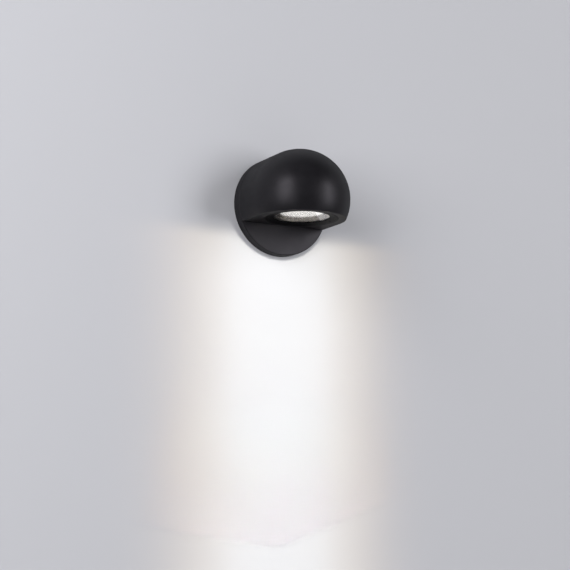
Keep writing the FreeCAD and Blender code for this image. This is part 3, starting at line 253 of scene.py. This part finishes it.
def grain_of(dark, light, grain_size, cloud_size, low, high):
    """The grain group's values, with the sizes of its grain and its clouds in millimetres."""
    return {"Dark Color": (*dark, 1.0), "Light Color": (*light, 1.0),
            "Grain Scale": 1000.0 / grain_size, "Cloud Scale": 1000.0 / cloud_size,
            "Low Roughness": low, "High Roughness": high}


grain = make_grain()
powder_coat = dress("powder_coat", grain,
                    grain_of((0.0052, 0.005, 0.006), (0.0078, 0.0075, 0.0088), 0.7, 18.0,
                             0.36, 0.43),
                    (0.25, 0.00003), Specular_IOR_Level=0.2,
                    Specular_Tint=(1.0, 0.95, 1.0, 1.0))
# The coat is duller where it is seen at a grazing angle, as fine orange peel makes it.
tree = powder_coat.node_tree
shader = tree.nodes["Principled BSDF"]
grazing = node(tree, "ShaderNodeLayerWeight", {"Blend": 0.5}).outputs["Facing"]
duller = figure(tree, "MULTIPLY", figure(tree, "POWER", grazing, 3.0), 0.45)
tree.links.new(figure(tree, "ADD", shader.inputs["Roughness"].links[0].from_socket, duller),
               shader.inputs["Roughness"])
put_on(powder_coat, "wall_base")


# Mounting plate: zinc-plated sheet steel with two slots for the wall screws and two bent tabs.
# The rolling leaves fine streaks along it, and the plating is slightly cloudy.
def make_brushing():
    """Streaks along one direction, for rolled, drawn, turned and brushed metal."""
    group, given, result = new_group(
        "brushing", "ShaderNodeTree",
        [("Vector", "Vector"), ("Streaks", "Vector"), ("Dark Color", "Color"),
         ("Light Color", "Color"), ("Cloud Scale", "Float"),
         ("Low Roughness", "Float"), ("High Roughness", "Float")],
        [("Color", "Color"), ("Roughness", "Float"), ("Height", "Float")])
    stretched = node(group, "ShaderNodeVectorMath", {0: given["Vector"], 1: given["Streaks"]},
                     operation="MULTIPLY").outputs[0]
    streak = node(group, "ShaderNodeTexNoise", {"Vector": stretched, "Scale": 1.0,
                                                "Detail": 4.0}).outputs[0]
    cloud = node(group, "ShaderNodeTexNoise", {"Vector": given["Vector"], "Detail": 2.0,
                                               "Scale": given["Cloud Scale"]}).outputs[0]
    both = figure(group, "ADD", streak, cloud)
    tone = spread(group, both, 0.75, 1.25)
    link = group.links.new
    link(blend_tones(group, tone, given["Dark Color"], given["Light Color"]), result["Color"])
    link(spread(group, both, 0.75, 1.25, given["Low Roughness"], given["High Roughness"]),
         result["Roughness"])
    link(streak, result["Height"])
    return group


def brushing_of(dark, light, streaks, cloud_size, low, high):
    """The brushing group's values: streaks per metre along X, Y and Z, clouds in millimetres."""
    return {"Dark Color": (*dark, 1.0), "Light Color": (*light, 1.0), "Streaks": streaks,
            "Cloud Scale": 1000.0 / cloud_size, "Low Roughness": low, "High Roughness": high}


brushing = make_brushing()
zinc_sheet = dress("zinc_sheet", brushing,
                   brushing_of((0.44, 0.45, 0.47), (0.66, 0.67, 0.68), (40.0, 900.0, 1600.0),
                               14.0, 0.26, 0.42),
                   (0.2, 0.00002), Metallic=1.0)
put_on(zinc_sheet, "wall_plate")


# Grub screws of the disc: two black hexagon-socket screws with a thread and a dog point, turned
# from bar, which hold the disc on the plate's tabs. All turned pieces come from the tree below.
def smooth_but_edges(group, solid, angle):
    """Smooth shading with sharp edges where the faces meet at more than the angle in degrees."""
    solid = node(group, "GeometryNodeSetShadeSmooth", {0: solid}).outputs[0]
    bend = node(group, "GeometryNodeInputMeshEdgeAngle").outputs[0]
    sharp = figure(group, "GREATER_THAN", bend, math.radians(angle))
    return node(group, "GeometryNodeSetShadeSmooth",
                {0: solid, 1: sharp, 2: False}, domain="EDGE").outputs[0]


def make_turned():
    """A profile wrapped round its axis, with a thread or waves, a drive cut in, at each seat."""
    group, given, result = new_group(
        "turned", "GeometryNodeTree",
        [("Seats", "Geometry"), ("Profile", "Object"), ("Drive", "Object"), ("Has Drive", "Bool"),
         ("Steps Around", "Int"), ("Pitch", "Float"), ("Thread Depth", "Float"),
         ("Waves Around", "Float"), ("Wave Depth", "Float"), ("Seed", "Int"),
         ("Material", "Material")],
        [("Geometry", "Geometry")])
    profile = node(group, "GeometryNodeObjectInfo",
                   {"Object": given["Profile"]}).outputs["Geometry"]
    rows = node(group, "GeometryNodeAttributeDomainSize", {0: profile}).outputs["Point Count"]
    columns = figure(group, "ADD", given["Steps Around"], 1.0)
    grid = node(group, "GeometryNodeMeshGrid",
                {"Vertices X": rows, "Vertices Y": columns}).outputs[0]
    index = node(group, "GeometryNodeInputIndex").outputs[0]
    # The grid's points run along Y first, so that a row is one point of the profile, carried round
    # the axis. Each point of the profile holds a radius, a relief from -1 to 1, and a height.
    row = figure(group, "DIVIDE", figure(group, "ADD", index, 0.5), columns)
    row = figure(group, "FLOOR", row)
    column = figure(group, "SUBTRACT", index, figure(group, "MULTIPLY", row, columns))
    share = figure(group, "DIVIDE", column, given["Steps Around"])
    sample = node(group, "GeometryNodeSampleIndex",
                  {0: profile, 1: node(group, "GeometryNodeInputPosition").outputs[0], 2: row},
                  data_type="FLOAT_VECTOR")
    radius, relief, along = node(group, "ShaderNodeSeparateXYZ",
                                 {0: sample.outputs[0]}).outputs[:3]
    turn = figure(group, "SUBTRACT", figure(group, "DIVIDE", along, given["Pitch"]), share)
    dip = figure(group, "MULTIPLY", figure(group, "PINGPONG", turn, 0.5), 2.0)
    dip = figure(group, "MULTIPLY", dip, figure(group, "MULTIPLY", relief, given["Thread Depth"]))
    radius = figure(group, "SUBTRACT", radius, dip)
    angle = figure(group, "MULTIPLY", share, math.tau)
    wave = figure(group, "COSINE", figure(group, "MULTIPLY", angle, given["Waves Around"]))
    wave = figure(group, "MULTIPLY", wave, figure(group, "MULTIPLY", relief, given["Wave Depth"]))
    place = node(group, "ShaderNodeCombineXYZ",
                 {0: figure(group, "MULTIPLY", radius, figure(group, "COSINE", angle)),
                  1: figure(group, "MULTIPLY", radius, figure(group, "SINE", angle)),
                  2: figure(group, "ADD", along, wave)}).outputs[0]
    wrapped = node(group, "GeometryNodeSetPosition",
                   {"Geometry": grid, "Position": place}).outputs[0]
    wrapped = node(group, "GeometryNodeMergeByDistance",
                   {"Geometry": wrapped, "Distance": weld_distance}).outputs[0]
    drive = node(group, "GeometryNodeObjectInfo", {"Object": given["Drive"]}).outputs["Geometry"]
    cut = node(group, "GeometryNodeMeshBoolean", {"Mesh 1": wrapped, "Mesh 2": drive},
               operation="DIFFERENCE", solver="EXACT").outputs[0]
    solid = node(group, "GeometryNodeSwitch", {0: given["Has Drive"], 1: wrapped, 2: cut},
                 input_type="GEOMETRY").outputs[0]
    solid = smooth_but_edges(group, solid, 35.0)
    out = node(group, "GeometryNodeInputNamedAttribute", {"Name": "axis"},
               data_type="FLOAT_VECTOR").outputs[0]
    upright = node(group, "FunctionNodeAlignRotationToVector",
                   {"Vector": out}, axis="Z").outputs[0]
    chance = node(group, "FunctionNodeRandomValue", {"Seed": given["Seed"]}).outputs[1]
    spin = node(group, "FunctionNodeAxisAngleToRotation",
                {"Axis": (0.0, 0.0, 1.0), "Angle": figure(group, "MULTIPLY", chance, math.tau)})
    turned_to = node(group, "FunctionNodeRotateRotation", {0: upright, 1: spin.outputs[0]},
                     rotation_space="LOCAL").outputs[0]
    placed = node(group, "GeometryNodeInstanceOnPoints",
                  {"Points": given["Seats"], "Instance": solid, "Rotation": turned_to}).outputs[0]
    real = node(group, "GeometryNodeRealizeInstances", {0: placed}).outputs[0]
    dressed = node(group, "GeometryNodeSetMaterial", {0: real, "Material": given["Material"]})
    group.links.new(dressed.outputs[0], result["Geometry"])
    return group


def run_tree(group, start, **values):
    """Runs a Geometry Nodes tree on a mesh, and gives the plain mesh in the material given."""
    holder = new_piece("holder", start)
    modifier = holder.modifiers.new("tree", "NODES")
    modifier.node_group = group
    sockets = {item.name: item.identifier for item in group.interface.items_tree
               if item.item_type == "SOCKET" and item.in_out == "INPUT"}
    for label, value in values.items():
        modifier[sockets[label.replace("_", " ")]] = value
    depsgraph = bpy.context.evaluated_depsgraph_get()
    made = bpy.data.meshes.new_from_object(holder.evaluated_get(depsgraph))
    bpy.data.objects.remove(holder)
    made.materials.clear()
    made.materials.append(values["Material"])
    made.polygons.foreach_set("material_index", [0] * len(made.polygons))
    return made


def millimetres(name, points, faces=()):
    """A helper object from points and faces in millimetres."""
    mesh = bpy.data.meshes.new(name)
    mesh.from_pydata([[c / 1000 for c in point] for point in points], [], faces)
    return new_piece(name, mesh)


def drive_of(outline, depth, narrowing):
    """A cutter for a drive: an outline in millimetres that narrows down to its depth."""
    count, above = len(outline), 0.3
    points = ([(x, y, above) for x, y in outline]
              + [(x * narrowing, y * narrowing, -depth) for x, y in outline])
    sides = [(i, count + i, count + (i + 1) % count, (i + 1) % count) for i in range(count)]
    top, bottom = tuple(range(count)), tuple(range(2 * count - 1, count - 1, -1))
    return millimetres("drive", points, [top] + sides + [bottom])


def cross_drive(reach, width, depth):
    """The cutter of a cross recess."""
    a, b = reach, width / 2
    return drive_of([(a, -b), (a, b), (b, b), (b, a), (-b, a), (-b, b), (-a, b), (-a, -b),
                     (-b, -b), (-b, -a), (b, -a), (b, -b)], depth, 0.5)


def slot_drive(reach, width, depth):
    """The cutter of a slot right across a head."""
    a, b = reach, width / 2
    return drive_of([(a, -b), (a, b), (-a, b), (-a, -b)], depth, 1.0)


def hexagon_drive(radius, depth):
    """The cutter of a hexagon socket."""
    return drive_of([(radius * math.cos(math.radians(60 * i)),
                      radius * math.sin(math.radians(60 * i))) for i in range(6)], depth, 1.0)


def thread_rows(radius, start, end, pitch):
    """Rows of a profile for a threaded length, four to each turn of the thread."""
    count = max(4, round((start - end) / pitch * 4))
    return [(radius, float(0 < i < count), start + (end - start) * i / count)
            for i in range(count + 1)]


def boxes_of(name):
    """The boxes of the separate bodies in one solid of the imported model."""
    shell = bmesh.new()
    shell.from_mesh(solids[name].data)
    bmesh.ops.remove_doubles(shell, verts=shell.verts, dist=weld_distance)
    left, boxes = set(shell.verts), []
    while left:
        reached, found = [left.pop()], []
        while reached:
            vert = reached.pop()
            found.append(vert.co.copy())
            for edge in vert.link_edges:
                other = edge.other_vert(vert)
                if other in left:
                    left.remove(other)
                    reached.append(other)
        boxes.append([[limit(co[i] for co in found) for i in range(3)] for limit in (min, max)])
    shell.free()
    return sorted(boxes)


def seats_of(name, *looks):
    """Where the heads of a solid's screws are, and which way each looks."""
    seats = []
    for low, high in boxes_of(name):
        low, high = Vector(low), Vector(high)
        middle, half = (low + high) / 2, (high - low) / 2
        look = max((Vector(look) for look in looks), key=lambda one: one.dot(middle))
        seats.append((middle + look * abs(look.dot(half)), look))
    return seats


def turned_piece(name, node_name, body, seats, profile, material, drive=None, pitch=0.5,
                 depth=0.3, steps=28, waves=0.0, wave_depth=0.0, seed=1):
    """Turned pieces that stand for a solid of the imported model, with sizes in millimetres."""
    start = bpy.data.meshes.new(name)
    start.from_pydata([seat for seat, look in seats], [], [])
    axes = start.attributes.new("axis", "FLOAT_VECTOR", "POINT")
    for i, (seat, look) in enumerate(seats):
        axes.data[i].vector = look
    outline = millimetres("profile", profile)
    cutter = drive or millimetres("drive", [])
    mesh = run_tree(turned, start, Profile=outline, Drive=cutter, Has_Drive=drive is not None,
                    Steps_Around=steps, Pitch=pitch / 1000, Thread_Depth=depth / 1000,
                    Waves_Around=waves, Wave_Depth=wave_depth / 1000, Seed=seed,
                    Material=material)
    bpy.data.objects.remove(outline)
    bpy.data.objects.remove(cutter)
    bpy.data.meshes.remove(start)
    mesh.name = name
    piece = new_piece(name, mesh)
    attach(piece, body)
    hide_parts(node_name)
    return piece


weld_distance = 0.000001
room_side, wall_side, upper_side, lower_side = (0, -1, 0), (0, 1, 0), (0, 0, 1), (0, 0, -1)
turned = make_turned()
black_oxide = dress("black_oxide", brushing,
                    brushing_of((0.012, 0.012, 0.013), (0.03, 0.03, 0.032),
                                (900.0, 900.0, 900.0), 2.0, 0.35, 0.5),
                    (0.2, 0.00001))
turned_piece("socket_grub_screws", "base_grub_screws", "base",
             seats_of("base_grub_screws", upper_side, lower_side),
             [(0, 0, 0), (1.8, 0, 0), (2, 0, -0.2)] + thread_rows(2.0, -0.2, -5.3, 0.7)
             + [(1.6, 0, -5.5), (1.6, 0, -7.3), (1.4, 0, -7.5), (0, 0, -7.5)],
             black_oxide, drive=hexagon_drive(1.1, 2.0), pitch=0.7, depth=0.35)


# Back gasket: a ring of closed-cell foam, cut from sheet, in the groove of the disc's back edge.
# The grub screws press it on the wall, and it keeps damp out.
foam = dress("closed_cell_foam", grain,
             grain_of((0.012, 0.012, 0.012), (0.05, 0.05, 0.05), 0.5, 6.0, 0.85, 0.98),
             (0.8, 0.0001), Specular_IOR_Level=0.2)
put_on(foam, "base_gasket")


# Cable grommet: a soft moulded rubber bush with a groove round it, snapped into the plate's
# cable hole. The supply cable comes in through it.
rubber = dress("soft_rubber", grain,
               grain_of((0.014, 0.014, 0.014), (0.026, 0.026, 0.025), 0.5, 9.0, 0.55, 0.72),
               (0.3, 0.00003), Specular_IOR_Level=0.35)
put_on(rubber, "cable_grommet")


# Terminal block: three poles in moulded white plastic with turned brass sleeves, held to the
# plate by two screws. Beside it is the stamped brass tag of the earth lead.
white_plastic = dress("white_plastic", grain,
                      grain_of((0.66, 0.65, 0.60), (0.78, 0.77, 0.73), 0.4, 8.0, 0.38, 0.5),
                      (0.15, 0.00002))
put_on(white_plastic, "terminal_block")
turned_brass = dress("turned_brass", brushing,
                     brushing_of((0.50, 0.34, 0.11), (0.78, 0.58, 0.24), (700.0, 2500.0, 700.0),
                                 5.0, 0.2, 0.36),
                     (0.2, 0.00001), Metallic=1.0)
put_on(turned_brass, "terminal_sleeves", "earth_tag")


# Screws of the block and of the earth tag: cold-headed steel with rolled threads, zinc plated.
# The six clamping screws have a slot, the others a cross.
plated_screw = dress("plated_screw", brushing,
                     brushing_of((0.44, 0.44, 0.45), (0.70, 0.70, 0.70), (900.0, 900.0, 900.0),
                                 3.0, 0.22, 0.36),
                     (0.2, 0.00001), Metallic=1.0)
turned_piece("clamping_screws", "terminal_screws", "base",
             seats_of("terminal_screws", room_side),
             [(0, 0, 0), (1.15, 0, 0), (1.3, 0, -0.15)] + thread_rows(1.3, -0.15, -2.2, 0.45)
             + [(0, 0, -2.2)],
             plated_screw, drive=slot_drive(1.6, 0.45, 0.7), pitch=0.45, depth=0.22, seed=3)


def pan_head(radius, height, shank, length, pitch):
    """The profile of a screw with a rounded cheese head."""
    return ([(0, 0, 0), (radius * 0.7, 0, 0), (radius * 0.9, 0, -height * 0.12),
             (radius, 0, -height * 0.4), (radius, 0, -height), (shank, 0, -height)]
            + thread_rows(shank, -height - 0.3, -length + 0.4, pitch)
            + [(shank * 0.7, 0, -length), (0, 0, -length)])


turned_piece("block_screws", "terminal_fixing_screws", "base",
             seats_of("terminal_fixing_screws", room_side), pan_head(2.1, 1.6, 1.25, 5.6, 0.45),
             plated_screw, drive=cross_drive(1.25, 0.5, 1.1), pitch=0.45, depth=0.22, seed=5)
turned_piece("plate_earth_screw", "earth_screw", "base",
             seats_of("earth_screw", room_side), pan_head(2.9, 2.0, 1.6, 4.3, 0.5),
             plated_screw, drive=cross_drive(1.8, 0.6, 1.4), depth=0.28, seed=6)


# Spindle and its stack: a turned and zinc-plated nipple, a hardened disc spring, a thrust washer
# and a lock nut, which press the head on the disc so that it stays where it is put.
turned_zinc = dress("turned_zinc", brushing,
                    brushing_of((0.42, 0.43, 0.45), (0.66, 0.67, 0.68), (120.0, 4000.0, 120.0),
                                9.0, 0.24, 0.38),
                    (0.2, 0.00001), Metallic=1.0)
put_on(turned_zinc, "thrust_washer", "lock_nut")
turned_piece("threaded_nipple", "pivot_nipple", "base",
             seats_of("pivot_nipple", room_side),
             [(4.2, 0, -0.3), (4.5, 0, 0), (5.5, 0, 0), (6, 0, -0.5)]
             + thread_rows(6.0, -0.5, -8.2, 1.0)
             + [(6, 0, -8.4), (6, 0, -17), (8.7, 0, -17), (9, 0, -17.3), (9, 0, -18.5),
                (4.5, 0, -18.5), (4.2, 0, -18.2), (4.2, 0, -0.3)],
             turned_zinc, pitch=1.0, depth=0.55, steps=56)
spring_steel = dress("hard_steel", brushing,
                     brushing_of((0.20, 0.21, 0.23), (0.40, 0.41, 0.43), (300.0, 3000.0, 300.0),
                                 7.0, 0.28, 0.4),
                     (0.2, 0.00001), Metallic=1.0)
put_on(spring_steel, "disc_spring", "stop_pin")


# Leads: single cores in extruded silicone sleeves, which run from the terminal block through the
# nipple to the lamp holder and the head's earth screw. They are brown and blue, and green with a
# yellow stripe for the earth.
def lead_sleeve(name, dark, light):
    """The slightly glossy sleeve of a single core."""
    return dress(name, grain, grain_of(dark, light, 0.8, 12.0, 0.32, 0.42), (0.12, 0.00002))


brown_sleeve = lead_sleeve("brown_sleeve", (0.09, 0.032, 0.014), (0.14, 0.055, 0.024))
blue_sleeve = lead_sleeve("blue_sleeve", (0.015, 0.085, 0.30), (0.025, 0.13, 0.42))
earth_sleeve = lead_sleeve("earth_sleeve", (0.03, 0.22, 0.035), (0.045, 0.29, 0.05))
tree = earth_sleeve.node_tree
shader = tree.nodes["Principled BSDF"]
green = shader.inputs["Base Color"].links[0].from_socket
sideways = node(tree, "ShaderNodeVectorMath",
                {0: node(tree, "ShaderNodeTexCoord").outputs["Normal"], 1: (0.55, 0.0, 0.83)},
                operation="DOT_PRODUCT").outputs["Value"]
stripe = spread(tree, figure(tree, "ABSOLUTE", sideways), 0.36, 0.42, 1.0, 0.0)
tree.links.new(blend_tones(tree, stripe, green, (0.62, 0.50, 0.03, 1.0)),
               shader.inputs["Base Color"])
put_on(brown_sleeve, "base_live_lead", "head_live_lead")
put_on(blue_sleeve, "base_neutral_lead", "head_neutral_lead")
put_on(earth_sleeve, "base_earth_lead", "head_earth_lead")


# Head shell: one aluminium casting, a short cylinder that runs out into half a dome, cut flat
# underneath, in the same powder coat as the disc. A back plate with four screws closes it.
def make_welded():
    """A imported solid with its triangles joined, smooth on its curves and sharp at its edges."""
    group, given, result = new_group(
        "welded", "GeometryNodeTree",
        [("Solid", "Geometry"), ("Distance", "Float"), ("Material", "Material")],
        [("Geometry", "Geometry")])
    joined = node(group, "GeometryNodeMergeByDistance",
                  {"Geometry": given["Solid"], "Distance": given["Distance"]}).outputs[0]
    joined = smooth_but_edges(group, joined, 28)
    real = node(group, "GeometryNodeRealizeInstances", {0: joined}).outputs[0]
    dressed = node(group, "GeometryNodeSetMaterial", {0: real, "Material": given["Material"]})
    group.links.new(dressed.outputs[0], result["Geometry"])
    return group


start = solids["head_shell"].data.copy()
for stored in ("custom_normal", "sharp_edge", "sharp_face"):
    if stored in start.attributes:
        start.attributes.remove(start.attributes[stored])
casting = run_tree(make_welded(), start, Distance=0.000002, Material=powder_coat)
casting.name = "head_casting"
head_casting = new_piece("head_casting", casting)
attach(head_casting, "head")
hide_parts("head_shell")
put_on(powder_coat, "head_back_plate")
turned_piece("cover_screws", "back_plate_screws", "head",
             seats_of("back_plate_screws", wall_side), pan_head(2.8, 1.6, 1.5, 9.6, 0.5),
             plated_screw, drive=cross_drive(1.75, 0.6, 1.2), seed=7)
turned_piece("strap_screws", "bracket_screws", "head",
             seats_of("bracket_screws", room_side), pan_head(2.4, 1.0, 1.5, 7.0, 0.5),
             plated_screw, drive=cross_drive(1.5, 0.55, 0.8), seed=8)
turned_piece("head_tag_screw", "head_earth_screw", "head",
             seats_of("head_earth_screw", room_side), pan_head(2.9, 2.0, 1.6, 7.2, 0.5),
             plated_screw, drive=cross_drive(1.8, 0.6, 1.4), seed=9)
nylon = dress("moulded_nylon", grain,
              grain_of((0.62, 0.61, 0.56), (0.74, 0.73, 0.68), 0.6, 7.0, 0.4, 0.52),
              (0.15, 0.00002))
put_on(nylon, "pivot_bush", "friction_washer")
put_on(zinc_sheet, "holder_bracket")


# Lamp holder and lamp: a pressed steatite holder on its strap, a moulded lamp body with a pair of
# brass pins and a lit lens with pebbles. Below it sits a spun aluminium ring with shallow waves.
steatite = dress("steatite", grain,
                 grain_of((0.68, 0.64, 0.57), (0.80, 0.77, 0.70), 0.5, 10.0, 0.5, 0.62),
                 (0.3, 0.00004))
put_on(steatite, "lampholder")
turned_piece("holder_screws", "lampholder_screws", "head",
             seats_of("lampholder_screws", upper_side), pan_head(2.4, 1.0, 1.5, 8.5, 0.5),
             plated_screw, drive=slot_drive(2.7, 0.6, 0.6), seed=10)
lamp_white = dress("lamp_white", grain,
                   grain_of((0.70, 0.70, 0.69), (0.80, 0.80, 0.79), 0.8, 14.0, 0.3, 0.4),
                   (0.1, 0.00002))
put_on(lamp_white, "lamp_body")
put_on(turned_brass, "lamp_pins", "head_earth_tag")


def make_pebbled():
    """Round pebbles in a spiral on the lower face of a lens, with their height as an attribute."""
    group, given, result = new_group(
        "pebbled", "GeometryNodeTree",
        [("Lens", "Geometry"), ("Centre", "Vector"), ("Count", "Int"), ("Reach", "Float"),
         ("Pebble Radius", "Float"), ("Pebble Height", "Float"), ("Material", "Material")],
        [("Geometry", "Geometry")])
    index = node(group, "GeometryNodeInputIndex").outputs[0]
    share = figure(group, "DIVIDE", figure(group, "ADD", index, 0.5), given["Count"])
    out = figure(group, "MULTIPLY", figure(group, "SQRT", share), given["Reach"])
    angle = figure(group, "MULTIPLY", index, math.pi * (3 - math.sqrt(5)))
    flat = node(group, "ShaderNodeCombineXYZ",
                {0: figure(group, "MULTIPLY", out, figure(group, "COSINE", angle)),
                 1: figure(group, "MULTIPLY", out, figure(group, "SINE", angle))}).outputs[0]
    spot = node(group, "ShaderNodeVectorMath", {0: flat, 1: given["Centre"]}).outputs[0]
    spots = node(group, "GeometryNodeMeshLine", {"Count": given["Count"]}).outputs[0]
    spots = node(group, "GeometryNodeSetPosition",
                 {"Geometry": spots, "Position": spot}).outputs[0]
    nearest = node(group, "GeometryNodeProximity", {0: spots}, target_element="POINTS")
    ratio = figure(group, "DIVIDE", nearest.outputs["Distance"], given["Pebble Radius"])
    swell = figure(group, "SUBTRACT", 1.0, figure(group, "MULTIPLY", ratio, ratio))
    place = node(group, "ShaderNodeSeparateXYZ",
                 {0: node(group, "GeometryNodeInputPosition").outputs[0]}).outputs[2]
    middle = node(group, "ShaderNodeSeparateXYZ", {0: given["Centre"]}).outputs[2]
    lower = figure(group, "LESS_THAN", place, figure(group, "ADD", middle, 0.00005))
    swell = figure(group, "MULTIPLY", figure(group, "MAXIMUM", swell, 0.0), lower)
    kept = node(group, "GeometryNodeStoreNamedAttribute",
                {"Geometry": given["Lens"], "Name": "pebble", "Value": swell}).outputs[0]
    height = node(group, "GeometryNodeInputNamedAttribute", {"Name": "pebble"}).outputs[0]
    drop = figure(group, "MULTIPLY", height, given["Pebble Height"])
    drop = figure(group, "MULTIPLY", drop, -1.0)
    moved = node(group, "GeometryNodeSetPosition",
                 {"Geometry": kept,
                  "Offset": node(group, "ShaderNodeCombineXYZ", {2: drop}).outputs[0]}).outputs[0]
    real = node(group, "GeometryNodeRealizeInstances", {0: moved}).outputs[0]
    dressed = node(group, "GeometryNodeSetMaterial", {0: real, "Material": given["Material"]})
    group.links.new(dressed.outputs[0], result["Geometry"])
    return group


lit_lens = dress("lit_lens", grain,
                 grain_of((0.86, 0.85, 0.83), (0.95, 0.94, 0.92), 1.6, 9.0, 0.3, 0.4),
                 (0.1, 0.00003), Emission_Strength=1.46)
tree = lit_lens.node_tree
swelling = node(tree, "ShaderNodeAttribute", attribute_name="pebble").outputs["Fac"]
glow = blend_tones(tree, spread(tree, swelling, 0.0, 0.85), (0.82, 0.8, 0.775, 1.0),
                   (1.0, 0.98, 0.955, 1.0))
tree.links.new(glow, tree.nodes["Principled BSDF"].inputs["Emission Color"])
lens_radius, lens_depth, lens_rings = 23.7, 1.6, 60
pebble_height, pebble_margin = 0.3, 1.6
(lens_seat, look), = seats_of("lamp_lens", lower_side)
lens_face = lens_seat - look * pebble_height / 1000
lens = turned_piece("pebbled_lens", "lamp_lens", "head", [(lens_face, look)],
                    [(lens_radius * i / lens_rings, 0, 0) for i in range(lens_rings)]
                    + [(lens_radius - 0.1, 0, 0), (lens_radius, 0, -0.1),
                       (lens_radius, 0, pebble_height - lens_depth),
                       (0, 0, pebble_height - lens_depth)],
                    lit_lens, steps=180)
lens.data = run_tree(make_pebbled(), lens.data.copy(), Centre=lens_face, Count=210,
                     Reach=(lens_radius - pebble_margin) / 1000, Pebble_Radius=0.00142,
                     Pebble_Height=pebble_height / 1000, Material=lit_lens)
satin_aluminium = dress("satin_aluminium", brushing,
                        brushing_of((0.46, 0.42, 0.36), (0.56, 0.52, 0.46),
                                    (350.0, 350.0, 350.0), 12.0, 0.22, 0.28),
                        (0.08, 0.00002), Metallic=1.0)
front_rows, bands = 40, 4
mouth_radius, throat_radius, cone_height = 30.0, 23.7, 3.9
cone = [(throat_radius + (mouth_radius - throat_radius) * i / front_rows,
         math.sin(bands * math.pi * i / front_rows), cone_height * (i / front_rows - 1))
        for i in range(front_rows + 1)]
turned_piece("waved_reflector", "reflector_ring", "head",
             seats_of("reflector_ring", lower_side),
             [(mouth_radius, 0, 0), (30.8, 0, 0), (30.8, 0, -0.8),
              (throat_radius + 0.8, 0, -cone_height)] + cone,
             satin_aluminium, steps=384, waves=48, wave_depth=0.12)


# Front glass: a clear round pane with a ground edge, in a moulded silicone ring. A turned and
# coated bezel ring screws into the shell's bore and holds it, on a flat rubber seal.
silicone = dress("milky_silicone", grain,
                 grain_of((0.56, 0.56, 0.54), (0.70, 0.70, 0.68), 0.8, 8.0, 0.42, 0.52),
                 (0.1, 0.00002))
put_on(silicone, "glass_gasket")
window_glass = new_finish("window_glass", Transmission_Weight=1.0, IOR=1.5, Roughness=0.08,
                          Base_Color=(0.985, 0.985, 0.98, 1.0))[0]
put_on(window_glass, "glass")
put_on(rubber, "bezel_seal")
# The bezel ring is coated black, and its finish is also made darker and less glossy than the
# shell's: painted shade, as if the ring sat deeper in the bore than it does.
bezel_coat_and_painted_shade = dress("bezel_coat_and_painted_shade", grain,
                   grain_of((0.004, 0.004, 0.0045), (0.006, 0.006, 0.0065), 0.5, 14.0, 0.5, 0.58),
                   (0.2, 0.00002), Specular_IOR_Level=0.05)
put_on(bezel_coat_and_painted_shade, "bezel_ring")


# The lit lamp's beam on the wall: one lamp just under the bezel, which turns with the head. Its
# pattern gives a bright column that is centred on the head and soft towards its edges.
beam_gap = -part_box("lamp_lens")[0].y
beam_cone = math.radians(178)
lamp_radius, lamp_drop = 0.008, 0.0085
beam = bpy.data.objects.new("beam", bpy.data.lights.new("beam", "SPOT"))
beam.data.spot_size, beam.data.spot_blend = beam_cone, 0.0
beam.data.shadow_soft_size = lamp_radius
# The power cancels the fall of light with distance, and further down the pattern's strength
# cancels the slant, so that the pattern's values are the light on the wall.
beam.data.energy = (2 * math.pi * beam_gap) ** 2
beam.data.use_nodes = True
beam.location = (0.0, -beam_gap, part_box("bezel_ring")[0].z - lamp_drop)
beam.rotation_mode = "QUATERNION"
beam.rotation_quaternion = Vector((0, 1, 0)).to_track_quat("-Z", "Y")
beam.visible_camera = beam.visible_glossy = False
bpy.context.scene.collection.objects.link(beam)
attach(beam, "head")

tree = beam.data.node_tree
across = node(tree, "ShaderNodeSeparateXYZ",
              {0: node(tree, "ShaderNodeTexCoord").outputs["UV"]}).outputs
slope = [figure(tree, "MULTIPLY", figure(tree, "SUBTRACT", across[i], 0.5),
                2 * math.tan(beam_cone / 2)) for i in (0, 1)]
# Places on the wall in metres, aside from the lamp and below it.
aside = figure(tree, "MULTIPLY", figure(tree, "ABSOLUTE", slope[0]), beam_gap)
below = figure(tree, "MULTIPLY", slope[1], -beam_gap)
column_reach = 0.25
column = node(tree, "ShaderNodeValToRGB", {0: figure(tree, "DIVIDE", aside, column_reach)})
ramp = column.color_ramp
ramp.interpolation = "B_SPLINE"
stops = [(0.0, (0.70, 0.69, 0.645)), (0.19, (0.70, 0.685, 0.63)), (0.28, (0.57, 0.515, 0.425)),
         (0.40, (0.36, 0.29, 0.19)), (0.52, (0.155, 0.11, 0.06)), (0.64, (0.038, 0.026, 0.014)),
         (0.78, (0.0, 0.0, 0.0))]
for place, tone in stops:
    stop = ramp.elements[0] if place == 0.0 else ramp.elements.new(place)
    stop.color = (*tone, 1.0)
ramp.elements[-1].color = (0.0, 0.0, 0.0, 1.0)
slant = figure(tree, "ADD", figure(tree, "MULTIPLY", slope[0], slope[0]),
               figure(tree, "MULTIPLY", slope[1], slope[1]))
evened = figure(tree, "POWER", figure(tree, "ADD", slant, 1.0), 1.5)
beam_start, full_light, middle_height, fade_start, beam_end = -0.0045, 0.0085, 0.17, 0.6, 1.6
near = figure(tree, "MULTIPLY", spread(tree, below, beam_start, full_light),
              spread(tree, below, full_light, middle_height, 1.08, 1.03))
far = figure(tree, "MULTIPLY", spread(tree, below, middle_height, fade_start, 1.04, 0.86),
             spread(tree, below, fade_start, beam_end, 1.0, 0.0))
power = figure(tree, "MULTIPLY", evened, figure(tree, "MULTIPLY", near, far))
tree.links.new(column.outputs[0], tree.nodes["Emission"].inputs["Color"])
tree.links.new(power, tree.nodes["Emission"].inputs["Strength"])
